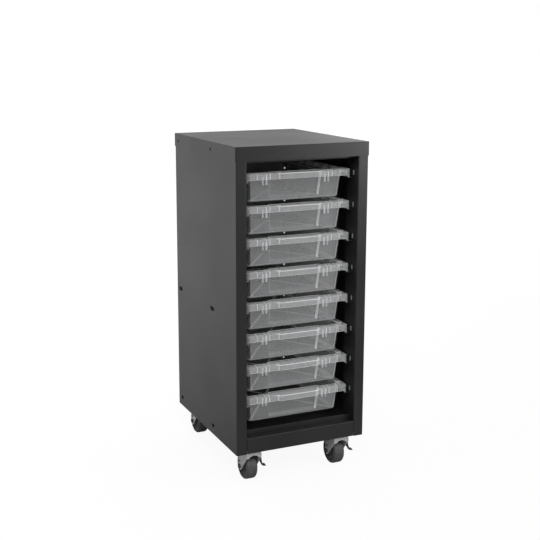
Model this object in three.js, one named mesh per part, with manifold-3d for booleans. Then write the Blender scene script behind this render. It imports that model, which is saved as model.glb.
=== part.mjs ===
// Classroom tray storage unit: a folded steel cabinet on four swivel casters,
// with eight moulded trays that hang by their rims on steel runners.
// Millimetres, +Z up, the front faces -Y. The origin is on the floor under the middle of the unit.
import * as THREE from "three";
import { mergeVertices } from "three/addons/utils/BufferGeometryUtils.js";
import Module from "manifold-3d";

const wasm = await Module();
wasm.setup();

// Fits shared by all pieces
const GAP = 0.3; // between two seated pieces
const RUN = 0.6; // between a turning piece and what carries it
const ROUND_SHARE = 0.3; // how far in the middle of a rounded edge lies, of its radius
const OVER = 1; // how far a cutter reaches past what it cuts

// Cabinet
const CABINET_W = 384;
const CABINET_D = 457;
const CABINET_H = 819;
const SHEET = 1.2;
const BEND = 2.2;
const BEND_STEPS = 2;
const CAP_SKIRT = 37.5;
const CAP_CORNER = 2.5;
const STILE_W = 31;
const JAMB_D = 62;
const REAR_FLANGE = 26;
const BACK_HOLE_D = 5;
const BACK_HOLE_INSET = 30.5; // from the outer face of the side panel, just clear of its flange
const BACK_HOLE_PITCH = 100.3;
const BACK_HOLE_FIRST = 99; // above the lower edge of the cabinet
const BACK_HOLES = 7;
const LINK_HOLE = { width: 7, height: 11, z: 363 }; // slots that tie two units together
const SCREW_HOLE = { d: 9, cap: 21, foot: 26 }; // below the top, above the lower edge of the cabinet

// Base
const RAIL_H = 44;
const RAIL_FLANGE = 24;
const RAIL_HEM = 5;
const RAIL_HOLE = { d: 6, x: 123, back: 12 };
const FLOOR_LIP = 14;
const FLOOR_SKIRT = 30;
const CHANNEL_SHEET = 1.6;
const CHANNEL_W = 68;
const HEAD_CHANNEL = { drop: 8, height: 36, flange: 25 };

// Uprights and runners
const UPRIGHT_W = 30;
const UPRIGHT_FLANGE = 8;
const UPRIGHT_MIDDLE = -56;
const UPRIGHT_REAR = 32.5; // from the back of the cabinet
const UPRIGHT_TOP_GAP = 8;
const RUNNER_SETBACK = 20; // from the cabinet front to the runner's front end
const RUNNER_WEB = 21;
const RUNNER_FLANGE = 15;
const RUNNER_STOP = 9;
const RUNNER_HOLE = { d: 4.2, back: 30 };

// Trays
const TRAYS = 8;
const HEAD_ROOM = 73.3; // from the top of the cabinet to the first rim
const FOOT_ROOM = 21.4; // from the floor pan to the lowest tray
const TRAY_GAP = 6.9; // from one tray to the next
const TRAY_SIDE = 8; // from a rim to the jamb
const TRAY_SETBACK = 24;
const TRAY_REAR = 18; // from the rim's rear to the back
const TRAY_WALL = 2;
const RIM_SIDE = 15;
const RIM_FRONT = 22;
const RIM_REAR = 16;
const RIM_CORNER = 12;
const CORNER_STEPS = 2;
const RIM_ROUND = 1.6;
const SKIRT_H = 18;
const HOOK_H = 23;
const HOOK_W = 9;
const REAR_SKIRT_H = 13;
// Places across the tray's front are shares of the tray's width.
const HANDLE = { half: 0.2157, ramp: 12, bulge: 9, steps: 3 };
const FINGER = { half: 0.232, ramp: 2, depth: 8 };
const RIM_RIB = { x: [0.277, 0.312, 0.395], width: 1.6, proud: 0.9 };
const TUB_PAD = { x: [0.2784, 0.312], width: [8.4, 6.2], proud: 2, drop: 34 };
const TUB_CORNER = 9;
const TUB_FILLET = 6;
const DRAFT = { side: 5, front: 10, rear: 4 };
const GUSSET = { first: 40, count: 8, thick: 1.6, drop: 14 };

// Casters
const CASTER_INSET = { x: 58.6, y: 43.9 }; // from the sides and the ends of the cabinet
const CASTER_RISE = 25; // from the top of the wheel to the top of the plate
const CASTER_SINK = 5; // of the plate above the lower edge of the cabinet
const CASTER_TRAIL = 20;
const PLATE = { x: 60, y: 66, thick: 2.5, corner: 6, boltX: 44, boltY: 50, slotL: 10, slotW: 6.5 };
const RACE = { r: 21, depth: 5 };
const WHEEL_D = 75;
const WHEEL_W = 32;
const WHEEL_SIDES = 24;
const TYRE = { thick: 11, seat: 3, shoulder: 7 };
const FORK = {
  wall: 2.4,
  clear: 4.2,
  crownDepth: 50,
  crownCorner: 9,
  crownSteps: 2,
  hoodSteps: 3,
  archRise: 6,
  archSteps: 6,
  legEnd: 11,
  legFrom: 1.1 * Math.PI, // where the round end of a leg begins
  legSteps: 5,
};
const AXLE_D = 8;
const AXLE_SIDES = 10;
const AXLE_HEAD = { d: 13, t: 4 };
const HUB = { bossD: 19, webT: 9, proud: 1 };
const ROUND_SIDES = 14;
const HOLE_SIDES = 6;
const PEDAL = {
  thick: 2,
  pivotY: -12,
  drop: 12,
  width: 13,
  reach: 17,
  tab: 11,
  fall: 5,
  endSteps: 6,
  pinD: 7,
  pinSides: 8,
};

// Values that follow from the sizes above
const CASTER_H = WHEEL_D + CASTER_RISE;
const FLOOR_GAP = CASTER_H - CASTER_SINK; // from the floor to the lower edge of the cabinet
const CASTER_X = CABINET_W / 2 - CASTER_INSET.x;
const CASTER_Y = CABINET_D / 2 - CASTER_INSET.y;
const TRAY_PITCH = (CABINET_H - HEAD_ROOM - RAIL_H - FOOT_ROOM + TRAY_GAP) / TRAYS;
const TRAY_H = TRAY_PITCH - TRAY_GAP;
const TRAY_W = CABINET_W - 2 * STILE_W - 2 * TRAY_SIDE;
const TRAY_D = CABINET_D - TRAY_SETBACK - TRAY_REAR;
const HANDLE_X = HANDLE.half * TRAY_W;
const FINGER_X = FINGER.half * TRAY_W;
const GUSSET_PITCH = (TRAY_D - 2 * GUSSET.first) / (GUSSET.count - 1);
const FRONT = -CABINET_D / 2;
const BACK = CABINET_D / 2;
const BASE = FLOOR_GAP;
const TOP = FLOOR_GAP + CABINET_H;
const PANEL_X = CABINET_W / 2 - SHEET - GAP; // outer face of a side panel
const PANEL_FRONT = FRONT + SHEET + GAP; // outer face of a stile
const PANEL_BACK = BACK - SHEET - GAP;
const PANEL_TOP = TOP - SHEET - GAP;
const JAMB_X = CABINET_W / 2 - STILE_W; // face of the jamb that the tray passes
const DECK = BASE + RAIL_H; // top of the rail and of the floor pan
const RAIL_BACK = PANEL_FRONT + RAIL_FLANGE;
const RUNNER_X = JAMB_X - GAP; // outer face of a runner's web
const WHEEL_R = WHEEL_D / 2;
const TUB_HALF = TRAY_W / 2 - RIM_SIDE;
const FORK_INNER = WHEEL_W / 2 + FORK.clear;
const FORK_OUTER = FORK_INNER + FORK.wall;
const FORK_TOP = CASTER_H - PLATE.thick - RACE.depth - GAP;
const UPRIGHT_Y = [UPRIGHT_MIDDLE, BACK - UPRIGHT_REAR];
const REAR_REACH = CASTER_Y + CASTER_TRAIL + WHEEL_R; // the wheels trail behind the cabinet
const ORIGIN_SHIFT = Math.max(0, REAR_REACH - BACK) / 2;

const powderCoat = { color: 0x2b2c2e, roughness: 0.45, metalness: 0.0 };
const clearPlastic = {
  color: 0xb9bcc0,
  roughness: 0.22,
  metalness: 0.0,
  transparent: true,
  opacity: 0.55,
};
const zincSteel = { color: 0xa6a8aa, roughness: 0.35, metalness: 0.85 };
const tyreRubber = { color: 0x3a3b3d, roughness: 0.7, metalness: 0.0 };
const hubPlastic = { color: 0x4a4b4d, roughness: 0.5, metalness: 0.0 };

const point = (x, y) => new THREE.Vector2(x, y);

// A closed three.js geometry as a solid that can be joined and cut.
function solidOf(geometry) {
  const bare = new THREE.BufferGeometry();
  const flat = geometry.index ? geometry.toNonIndexed() : geometry;
  bare.setAttribute("position", flat.getAttribute("position"));
  const merged = mergeVertices(bare, 1e-4);
  return new wasm.Manifold(
    new wasm.Mesh({
      numProp: 3,
      vertProperties: merged.getAttribute("position").array,
      triVerts: new Uint32Array(merged.index.array),
    }),
  );
}

// The surface of a solid as a geometry for a mesh.
function geometryOf(solid) {
  const mesh = solid.getMesh();
  const geometry = new THREE.BufferGeometry();
  geometry.setAttribute("position", new THREE.BufferAttribute(mesh.vertProperties, 3));
  geometry.setIndex(new THREE.BufferAttribute(mesh.triVerts, 1));
  geometry.computeVertexNormals();
  return geometry;
}

function box(x0, x1, y0, y1, z0, z1) {
  const geometry = new THREE.BoxGeometry(x1 - x0, y1 - y0, z1 - z0);
  geometry.translate((x0 + x1) / 2, (y0 + y1) / 2, (z0 + z1) / 2);
  return solidOf(geometry);
}

function extruded(outline, depth) {
  return new THREE.ExtrudeGeometry(new THREE.Shape(outline), { depth, bevelEnabled: false });
}

// An outline in X and Y, raised from z0 to z1.
function prismZ(outline, z0, z1) {
  return solidOf(extruded(outline, z1 - z0).translate(0, 0, z0));
}

// An outline in Y and Z, swept from x0 to x1.
function prismX(outline, x0, x1) {
  const turn = new THREE.Matrix4().makeBasis(
    new THREE.Vector3(0, 1, 0),
    new THREE.Vector3(0, 0, 1),
    new THREE.Vector3(1, 0, 0),
  );
  return solidOf(extruded(outline, x1 - x0).applyMatrix4(turn).translate(x0, 0, 0));
}

// An outline in X and Z, swept from y0 to y1.
function prismY(outline, y0, y1) {
  return solidOf(extruded(outline, y1 - y0).rotateX(Math.PI / 2).translate(0, y1, 0));
}

// A closed profile of radius and height, turned round the Z axis.
function turned(profile, sides = ROUND_SIDES) {
  const forward = THREE.ShapeUtils.area(profile) > 0 ? profile : [...profile].reverse();
  const lathe = new THREE.LatheGeometry([...forward, forward[0]], sides);
  return solidOf(lathe.rotateX(Math.PI / 2));
}

function disc(radius, z0, z1, sides = ROUND_SIDES) {
  const cylinder = new THREE.CylinderGeometry(radius, radius, z1 - z0, sides);
  return solidOf(cylinder.rotateX(Math.PI / 2).translate(0, 0, (z0 + z1) / 2));
}

// A disc whose axis lies along X, from x0 to x1.
function discX(radius, x0, x1, sides = ROUND_SIDES) {
  return disc(radius, x0, x1, sides).rotate([0, 90, 0]);
}

// A rounded rectangle from (x0, y0) to (x1, y1), counterclockwise from its lower left corner.
function roundedRect(x0, x1, y0, y1, radius, steps = CORNER_STEPS) {
  const corners = [
    [x0 + radius, y0 + radius, Math.PI],
    [x1 - radius, y0 + radius, 1.5 * Math.PI],
    [x1 - radius, y1 - radius, 0],
    [x0 + radius, y1 - radius, 0.5 * Math.PI],
  ];
  return corners.flatMap(([cx, cy, from]) => arc(cx, cy, radius, from, from + Math.PI / 2, steps));
}

function arc(cx, cy, radius, from, to, steps) {
  return Array.from({ length: steps + 1 }, (_, i) => {
    const angle = from + ((to - from) * i) / steps;
    return point(cx + radius * Math.cos(angle), cy + radius * Math.sin(angle));
  });
}

// The outline of a sheet folded along a path of its middle line, with a bend at each inner corner.
function foldedSheet(path, thickness, steps = BEND_STEPS) {
  const middle = path.flatMap((corner, i) => {
    if (i === 0 || i === path.length - 1) return [corner];
    const before = path[i - 1].clone().sub(corner).setLength(BEND).add(corner);
    const after = path[i + 1].clone().sub(corner).setLength(BEND).add(corner);
    return new THREE.QuadraticBezierCurve(before, corner, after).getPoints(steps);
  });
  const side = (offset) =>
    middle.map((p, i) => {
      const along = middle[Math.min(i + 1, middle.length - 1)].clone().sub(middle[Math.max(i - 1, 0)]);
      along.setLength(offset);
      return point(p.x - along.y, p.y + along.x);
    });
  return [...side(thickness / 2), ...side(-thickness / 2).reverse()];
}

// A closed body through rings of equal count, each an outline at its own height, from low to high.
function loft(rings) {
  const count = rings[0].outline.length;
  const positions = rings.flatMap(({ outline, z }) => outline.flatMap((p) => [p.x, p.y, z]));
  const faces = [];
  for (let ring = 0; ring + 1 < rings.length; ring += 1) {
    for (let i = 0; i < count; i += 1) {
      const low = ring * count + i;
      const next = ring * count + ((i + 1) % count);
      faces.push(low, next, next + count, low, next + count, low + count);
    }
  }
  const lid = count * (rings.length - 1);
  THREE.ShapeUtils.triangulateShape(rings[0].outline, []).forEach(([a, b, c]) => faces.push(a, c, b));
  THREE.ShapeUtils.triangulateShape(rings[rings.length - 1].outline, []).forEach(([a, b, c]) =>
    faces.push(lid + a, lid + b, lid + c),
  );
  const geometry = new THREE.BufferGeometry();
  geometry.setAttribute("position", new THREE.Float32BufferAttribute(positions, 3));
  geometry.setIndex(faces);
  return solidOf(geometry);
}

const union = (solids) => solids.reduce((whole, solid) => whole.add(solid));

// The mirror image of a solid across the middle plane of the unit.
const mirrored = (solid) => solid.mirror([1, 0, 0]);

const unit = new THREE.Group();
const body = new THREE.Group();
body.position.y = -ORIGIN_SHIFT;
unit.add(body);

function add(name, solid, finish, place = [0, 0, 0]) {
  const mesh = new THREE.Mesh(geometryOf(solid), new THREE.MeshStandardMaterial(finish));
  mesh.name = name;
  mesh.position.set(...place);
  body.add(mesh);
}

// Top cap: a lid with a rounded upper edge and four skirts that lap over the panels.
function topCap() {
  const half = CABINET_W / 2;
  const rim = (inset) =>
    roundedRect(-half + inset, half - inset, FRONT + inset, BACK - inset, CAP_CORNER - inset);
  const outer = loft([
    { outline: rim(0), z: TOP - CAP_SKIRT },
    { outline: rim(0), z: TOP - SHEET },
    { outline: rim(SHEET * ROUND_SHARE), z: TOP - SHEET * ROUND_SHARE },
    { outline: rim(SHEET), z: TOP },
  ]);
  const hollow = box(
    -half + SHEET,
    half - SHEET,
    FRONT + SHEET,
    BACK - SHEET,
    TOP - CAP_SKIRT - OVER,
    TOP - SHEET,
  );
  const holes = UPRIGHT_Y.map((y) => {
    const hole = discX(SCREW_HOLE.d / 2, -half - OVER, half + OVER, HOLE_SIDES);
    return hole.translate([0, y, TOP - SCREW_HOLE.cap]);
  });
  return outer.subtract(union([hollow, ...holes]));
}

// Right side panel: stile, jamb, wall and rear flange folded from one sheet.
function sidePanel() {
  const wall = PANEL_X - SHEET / 2;
  const jamb = JAMB_X + SHEET / 2;
  const front = PANEL_FRONT + SHEET / 2;
  const back = PANEL_BACK - SHEET / 2;
  const path = [
    point(jamb, PANEL_FRONT + JAMB_D),
    point(jamb, front),
    point(wall, front),
    point(wall, back),
    point(wall - REAR_FLANGE, back),
  ];
  const sheet = prismZ(foldedSheet(path, SHEET), BASE, PANEL_TOP);
  const jambFoot = box(
    JAMB_X - OVER,
    JAMB_X + SHEET + BEND,
    PANEL_FRONT + SHEET + GAP,
    PANEL_FRONT + JAMB_D + OVER,
    BASE - OVER,
    DECK + GAP,
  );
  const slots = UPRIGHT_Y.map((y) => {
    const r = LINK_HOLE.width / 2;
    const slot = roundedRect(-r, r, -LINK_HOLE.height / 2, LINK_HOLE.height / 2, r);
    return prismX(slot, PANEL_X - 2 * SHEET, PANEL_X + OVER).translate([0, y, BASE + LINK_HOLE.z]);
  });
  const footHoles = UPRIGHT_Y.map((y) => {
    const hole = discX(SCREW_HOLE.d / 2, PANEL_X - 2 * SHEET, PANEL_X + OVER, HOLE_SIDES);
    return hole.translate([0, y, BASE + SCREW_HOLE.foot]);
  });
  const holeY = PANEL_FRONT + RUNNER_SETBACK + RUNNER_HOLE.back;
  const screwHoles = trayLevels().map((top) => {
    const hole = discX(RUNNER_HOLE.d / 2, JAMB_X - OVER, JAMB_X + SHEET + OVER, HOLE_SIDES);
    return hole.translate([0, holeY, top - HOOK_H + RUNNER_WEB / 2]);
  });
  return sheet.subtract(union([jambFoot, ...slots, ...footHoles, ...screwHoles]));
}

// Back panel: a flat sheet on the inner side of the rear flanges, with screw holes along its edges.
function backPanel() {
  const half = PANEL_X - SHEET - BEND; // clear of the bends of the rear flanges
  const y = PANEL_BACK - SHEET - GAP;
  const sheet = box(-half, half, y - SHEET, y, DECK + GAP, PANEL_TOP - GAP);
  const holes = [-1, 1].flatMap((side) =>
    Array.from({ length: BACK_HOLES }, (_, i) => {
      const hole = disc(BACK_HOLE_D / 2, -SHEET, SHEET, HOLE_SIDES).rotate([90, 0, 0]);
      const x = side * (PANEL_X - BACK_HOLE_INSET);
      return hole.translate([x, y - SHEET / 2, BASE + BACK_HOLE_FIRST + i * BACK_HOLE_PITCH]);
    }),
  );
  return sheet.subtract(union(holes));
}

// Front rail: a channel between the stiles, open to the rear, with two bolt holes in its top flange.
function frontRail() {
  const half = JAMB_X - GAP;
  const front = PANEL_FRONT + SHEET / 2;
  const path = [
    point(PANEL_FRONT + RAIL_HEM, BASE + SHEET / 2),
    point(front, BASE + SHEET / 2),
    point(front, DECK - SHEET / 2),
    point(RAIL_BACK, DECK - SHEET / 2),
  ];
  const rail = prismX(foldedSheet(path, SHEET), -half, half);
  const hole = disc(RAIL_HOLE.d / 2, DECK - 2 * SHEET, DECK + OVER, HOLE_SIDES);
  const y = PANEL_FRONT + RAIL_HOLE.back;
  const holes = [-RAIL_HOLE.x, RAIL_HOLE.x].map((x) => hole.translate([x, y, 0]));
  return rail.subtract(union(holes));
}

// Floor pan: a deck with a raised front lip, notched round the jambs, and skirts down to the side panels.
function floorPan() {
  const wide = PANEL_X - SHEET - GAP;
  const narrow = JAMB_X - GAP;
  const front = RAIL_BACK + GAP;
  const notch = PANEL_FRONT + JAMB_D + GAP;
  const back = PANEL_BACK - SHEET - BEND;
  const deck = [
    point(-narrow, front),
    point(narrow, front),
    point(narrow, notch),
    point(wide, notch),
    point(wide, back),
    point(-wide, back),
    point(-wide, notch),
    point(-narrow, notch),
  ];
  const block = prismZ(deck, DECK - FLOOR_SKIRT, DECK + FLOOR_LIP);
  const above = box(
    -wide - OVER,
    wide + OVER,
    front + SHEET,
    back + OVER,
    DECK,
    DECK + FLOOR_LIP + OVER,
  );
  const below = box(
    -wide + SHEET,
    wide - SHEET,
    front - OVER,
    back + OVER,
    DECK - FLOOR_SKIRT - OVER,
    DECK - SHEET,
  );
  return block.subtract(above).subtract(below);
}

// Caster channel: a trough under the floor pan whose web carries two caster plates.
function casterChannel() {
  const half = PANEL_X - SHEET - 2 * GAP - SHEET;
  const leg = CHANNEL_W / 2 - CHANNEL_SHEET / 2;
  const web = CASTER_H + GAP + CHANNEL_SHEET / 2;
  const rise = DECK - SHEET - GAP;
  const path = [point(-leg, rise), point(-leg, web), point(leg, web), point(leg, rise)];
  return prismX(foldedSheet(path, CHANNEL_SHEET), -half, half);
}

// Head channel: an angle behind the header that ties the two jambs together.
function headChannel() {
  const half = JAMB_X - GAP;
  const y = RAIL_BACK + SHEET / 2;
  const low = TOP - CAP_SKIRT - HEAD_CHANNEL.drop;
  const path = [
    point(y, low + HEAD_CHANNEL.height),
    point(y, low + SHEET / 2),
    point(y + HEAD_CHANNEL.flange, low + SHEET / 2),
  ];
  return prismX(foldedSheet(path, SHEET), -half, half);
}

// Upright: a hat section that stands off the right side panel and carries the runners.
function upright() {
  const wall = PANEL_X - SHEET - GAP - SHEET / 2;
  const face = JAMB_X + SHEET / 2;
  const half = UPRIGHT_W / 2;
  const path = [
    point(wall, -half - UPRIGHT_FLANGE),
    point(wall, -half),
    point(face, -half),
    point(face, half),
    point(wall, half),
    point(wall, half + UPRIGHT_FLANGE),
  ];
  return prismZ(foldedSheet(path, SHEET), DECK + GAP, PANEL_TOP - UPRIGHT_TOP_GAP);
}

function trayLevels() {
  return Array.from({ length: TRAYS }, (_, i) => TOP - HEAD_ROOM - i * TRAY_PITCH);
}

// Right runner: an angle under the hook of a tray rim, with a stop at its rear end. Z is 0 at the rim top.
function runner() {
  const web = RUNNER_X - SHEET / 2;
  const low = -HOOK_H - GAP - SHEET / 2;
  const front = PANEL_FRONT + RUNNER_SETBACK;
  const stop = PANEL_FRONT + TRAY_SETBACK + TRAY_D + 2 * GAP;
  const path = [
    point(RUNNER_X - RUNNER_FLANGE, low),
    point(web, low),
    point(web, low + RUNNER_WEB),
  ];
  const angle = prismY(foldedSheet(path, SHEET, 1), front, stop + SHEET);
  const tab = box(RUNNER_X - RUNNER_FLANGE, RUNNER_X, stop, stop + SHEET, low, low + RUNNER_STOP);
  return angle.add(tab);
}

// The outline of the rim, drawn in by an inset. The handle bulges forward in the middle of the front.
function rimOutline(inset) {
  const half = TRAY_W / 2 - inset;
  const corner = Math.max(RIM_CORNER - inset, 1);
  const rect = roundedRect(-half, half, inset, TRAY_D - inset, corner);
  const ramp = Array.from({ length: HANDLE.steps + 1 }, (_, i) => {
    const t = i / HANDLE.steps;
    const rise = (1 - Math.cos(Math.PI * t)) / 2;
    return point(HANDLE_X - HANDLE.ramp * t - inset, inset - HANDLE.bulge * rise);
  });
  const left = ramp.map((p) => point(-p.x, p.y));
  const firstCorner = rect.slice(0, rect.length / 4);
  return [...firstCorner, ...left, ...ramp.reverse(), ...rect.slice(rect.length / 4)];
}

// The outline of the tub at a depth below the rim, drawn in by an inset, with the finger recess in front.
function tubOutline(depth, inset) {
  const share = depth / TRAY_H;
  const half = TUB_HALF - DRAFT.side * share - inset;
  const front = RIM_FRONT + DRAFT.front * share + inset;
  const rear = TRAY_D - RIM_REAR - DRAFT.rear * share - inset;
  const corner = Math.max(TUB_CORNER - inset, 1);
  const rect = roundedRect(-half, half, front, rear, corner);
  const recess = [
    point(FINGER_X + FINGER.ramp + inset, front),
    point(FINGER_X + inset, front + FINGER.depth),
  ];
  const left = recess.map((p) => point(-p.x, p.y));
  const firstCorner = rect.slice(0, rect.length / 4);
  return [...firstCorner, ...left, ...recess.reverse(), ...rect.slice(rect.length / 4)];
}

// Tray: a drafted tub with a rolled rim, hooked sides, gussets under the rim and ribs on its front.
// Its frame has the rim's front at y 0 and the rim's top at z 0.
function tray() {
  const tubRing = (depth, inset) => ({ outline: tubOutline(depth, inset), z: -depth });
  const outside = loft([
    tubRing(TRAY_H, TUB_FILLET),
    tubRing(TRAY_H - TUB_FILLET, 0),
    tubRing(RIM_ROUND, 0),
  ]);
  const inside = loft([
    tubRing(TRAY_H - TRAY_WALL, TUB_FILLET),
    tubRing(TRAY_H - TUB_FILLET, TRAY_WALL),
    tubRing(-OVER, TRAY_WALL),
  ]);
  const rim = loft([
    { outline: rimOutline(0), z: -HOOK_H },
    { outline: rimOutline(0), z: -RIM_ROUND },
    { outline: rimOutline(RIM_ROUND), z: 0 },
  ]);
  const underRim = prismZ(rimOutline(TRAY_WALL), -HOOK_H - OVER, -TRAY_WALL);
  const hookInner = TRAY_W / 2 - HOOK_W;
  const frontTrim = box(
    -hookInner,
    hookInner,
    -HANDLE.bulge - OVER,
    RIM_FRONT - OVER,
    -HOOK_H - OVER,
    -SKIRT_H,
  );
  const rearTrim = box(
    -hookInner,
    hookInner,
    TRAY_D - RIM_REAR + OVER,
    TRAY_D + OVER,
    -HOOK_H - OVER,
    -REAR_SKIRT_H,
  );
  const shell = rim.subtract(underRim).subtract(frontTrim).subtract(rearTrim);
  const details = union([...gussets(), ...rimRibs(), ...tubPads()]);
  return shell.add(details).add(outside).subtract(inside);
}

function gussets() {
  const places = Array.from({ length: GUSSET.count }, (_, i) => GUSSET.first + i * GUSSET_PITCH);
  return places.flatMap((y) => {
    const web = box(
      TUB_HALF - DRAFT.side,
      TRAY_W / 2 - TRAY_WALL / 2,
      y - GUSSET.thick / 2,
      y + GUSSET.thick / 2,
      -GUSSET.drop,
      -TRAY_WALL / 2,
    );
    return [web, mirrored(web)];
  });
}

function rimRibs() {
  return RIM_RIB.x.flatMap((share) => {
    const x = share * TRAY_W;
    const rib = box(
      x - RIM_RIB.width / 2,
      x + RIM_RIB.width / 2,
      -RIM_RIB.proud,
      TRAY_WALL / 2,
      -SKIRT_H,
      -RIM_ROUND,
    );
    return [rib, mirrored(rib)];
  });
}

function tubPads() {
  return TUB_PAD.x.flatMap((share, i) => {
    const x = share * TRAY_W;
    const pad = box(
      x - TUB_PAD.width[i] / 2,
      x + TUB_PAD.width[i] / 2,
      RIM_FRONT - TUB_PAD.proud,
      RIM_FRONT + DRAFT.front,
      -TUB_PAD.drop,
      -TRAY_WALL / 2,
    );
    return [pad, mirrored(pad)];
  });
}

// Caster plate: four slotted bolt holes, and the ball race pressed under its middle.
function casterPlate() {
  const { x, y, thick, corner } = PLATE;
  const outline = roundedRect(-x / 2, x / 2, -y / 2, y / 2, corner);
  const sheet = prismZ(outline, CASTER_H - thick, CASTER_H);
  const r = PLATE.slotW / 2;
  const slot = prismZ(
    roundedRect(-PLATE.slotL / 2, PLATE.slotL / 2, -r, r, r / 2, 1),
    CASTER_H - thick - OVER,
    CASTER_H + OVER,
  );
  const slots = [-1, 1].flatMap((sx) =>
    [-1, 1].map((sy) => slot.translate([(sx * PLATE.boltX) / 2, (sy * PLATE.boltY) / 2, 0])),
  );
  const race = turned([
    point(0, CASTER_H - thick - RACE.depth),
    point(RACE.r - RACE.depth / 2, CASTER_H - thick - RACE.depth),
    point(RACE.r, CASTER_H - thick - RACE.depth / 2),
    point(RACE.r, CASTER_H - thick / 2),
    point(0, CASTER_H - thick / 2),
  ]);
  return sheet.subtract(union(slots)).add(race);
}

// Fork: a pressed hood whose front and rear are arched, with legs that slope back to the axle.
function fork() {
  const { wall, crownDepth, crownCorner, archRise, legEnd } = FORK;
  const front = -crownDepth / 2;
  const low = WHEEL_R - legEnd;
  const foot = low - legEnd;
  const bend = crownCorner - wall;
  const hood = prismY(
    roundedRect(-FORK_OUTER, FORK_OUTER, low - crownCorner, FORK_TOP, crownCorner, FORK.hoodSteps),
    front,
    CASTER_TRAIL + legEnd + OVER,
  );
  const crown = (y, from) =>
    arc(y, FORK_TOP - crownCorner, crownCorner, from, from + Math.PI / 2, FORK.crownSteps);
  const profile = [
    point(front, FORK_TOP - 2 * crownCorner),
    ...arc(CASTER_TRAIL, WHEEL_R, legEnd, FORK.legFrom, 2 * Math.PI, FORK.legSteps),
    point(-front, FORK_TOP - 2 * crownCorner),
    ...crown(-front - crownCorner, 0),
    ...crown(front + crownCorner, Math.PI / 2),
  ];
  const side = prismX(profile, -FORK_OUTER - OVER, FORK_OUTER + OVER);
  const archR = FORK_INNER;
  const arch = prismY(
    [
      ...arc(0, WHEEL_D + archRise - archR, archR, 0, Math.PI, FORK.archSteps),
      point(-archR, foot),
      point(archR, foot),
    ],
    front - OVER,
    CASTER_TRAIL + legEnd + 2 * OVER,
  );
  const hollow = prismX(
    roundedRect(front + wall, -front - wall, foot, FORK_TOP - wall, bend),
    -FORK_INNER,
    FORK_INNER,
  ).intersect(
    prismY(roundedRect(-FORK_INNER, FORK_INNER, foot, FORK_TOP - wall, bend), front, -front),
  );
  const axleHole = discX(
    AXLE_D / 2 + GAP,
    -FORK_OUTER - OVER,
    FORK_OUTER + OVER,
    AXLE_SIDES,
  );
  return hood
    .intersect(side)
    .subtract(arch)
    .subtract(hollow)
    .subtract(axleHole.translate([0, CASTER_TRAIL, WHEEL_R]));
}

// Turn a profile of radius and height round the wheel's axis.
function turnedX(profile, sides) {
  return turned(profile, sides).rotate([0, 90, 0]);
}

// Tyre: a round-shouldered ring that stands on one of its flats.
function tyre() {
  const half = WHEEL_W / 2;
  const overFlats = 1 / Math.cos(Math.PI / WHEEL_SIDES); // the flats lie at the stated radii
  const r = WHEEL_R * overFlats;
  const inner = (WHEEL_R - TYRE.thick + GAP) * overFlats;
  const ring = turnedX(
    [
      point(inner, -half + TYRE.seat),
      point(r - TYRE.shoulder, -half),
      point(r, -half + TYRE.shoulder),
      point(r, half - TYRE.shoulder),
      point(r - TYRE.shoulder, half),
      point(inner, half - TYRE.seat),
    ],
    WHEEL_SIDES,
  );
  return ring.rotate([180 / WHEEL_SIDES, 0, 0]);
}

// Hub: a rim, a thin web and a boss that turns on the axle.
function hub() {
  const rim = WHEEL_R - TYRE.thick;
  const edge = WHEEL_W / 2 - TYRE.seat;
  const bore = AXLE_D / 2 + RUN;
  const boss = HUB.bossD / 2;
  const end = WHEEL_W / 2 + HUB.proud;
  const web = HUB.webT / 2;
  return turnedX(
    [
      point(bore, -end),
      point(boss, -end),
      point(boss, -web),
      point(rim - TYRE.seat, -web),
      point(rim, -edge),
      point(rim, edge),
      point(rim - TYRE.seat, web),
      point(boss, web),
      point(boss, end),
      point(bore, end),
    ],
    ROUND_SIDES,
  );
}

// Axle: a bolt through both legs of the fork with a head and a nut outside them.
function axle() {
  const seat = FORK_OUTER + GAP;
  const shank = discX(AXLE_D / 2, -seat - OVER, seat + OVER, AXLE_SIDES);
  const head = discX(AXLE_HEAD.d / 2, seat, seat + AXLE_HEAD.t, AXLE_SIDES);
  const nut = discX(AXLE_HEAD.d / 2, -seat - AXLE_HEAD.t, -seat, HOLE_SIDES);
  return union([shank, head, nut]);
}

// Brake pedal: a pressed lever on the outside of the right leg, with a foot tab turned outwards.
// Its frame has the pivot at the origin.
function brakePedal() {
  const { thick, width, reach, tab, fall, pinD } = PEDAL;
  const x0 = FORK_OUTER + GAP;
  const half = width / 2;
  const lever = [
    ...arc(0, 0, half, 0, Math.PI, PEDAL.endSteps),
    point(-reach, -fall - half),
    point(-reach + 2 * thick, -fall - half - thick),
    point(half, -half),
  ];
  const plate = prismX(lever, x0, x0 + thick);
  const foot = [
    point(x0 + thick / 2, -fall - half + thick),
    point(x0 + thick / 2, -fall - half - thick),
    point(x0 + tab, -fall - half - thick - fall / 2),
    point(x0 + tab, -fall - half - fall / 2),
  ];
  const tread = prismY(foot, -reach, -reach + width);
  const pin = discX(pinD / 2, x0 + thick / 2, x0 + 2 * thick, PEDAL.pinSides);
  return union([plate, tread, pin]);
}

add("top_cap", topCap(), powderCoat);
const rightPanel = sidePanel();
add("left_side_panel", mirrored(rightPanel), powderCoat);
add("right_side_panel", rightPanel, powderCoat);
add("back_panel", backPanel(), powderCoat);
add("front_rail", frontRail(), powderCoat);
add("floor_pan", floorPan(), powderCoat);
add("head_channel", headChannel(), powderCoat);
add("front_caster_channel", casterChannel(), powderCoat, [0, -CASTER_Y, 0]);
add("rear_caster_channel", casterChannel(), powderCoat, [0, CASTER_Y, 0]);

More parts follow.
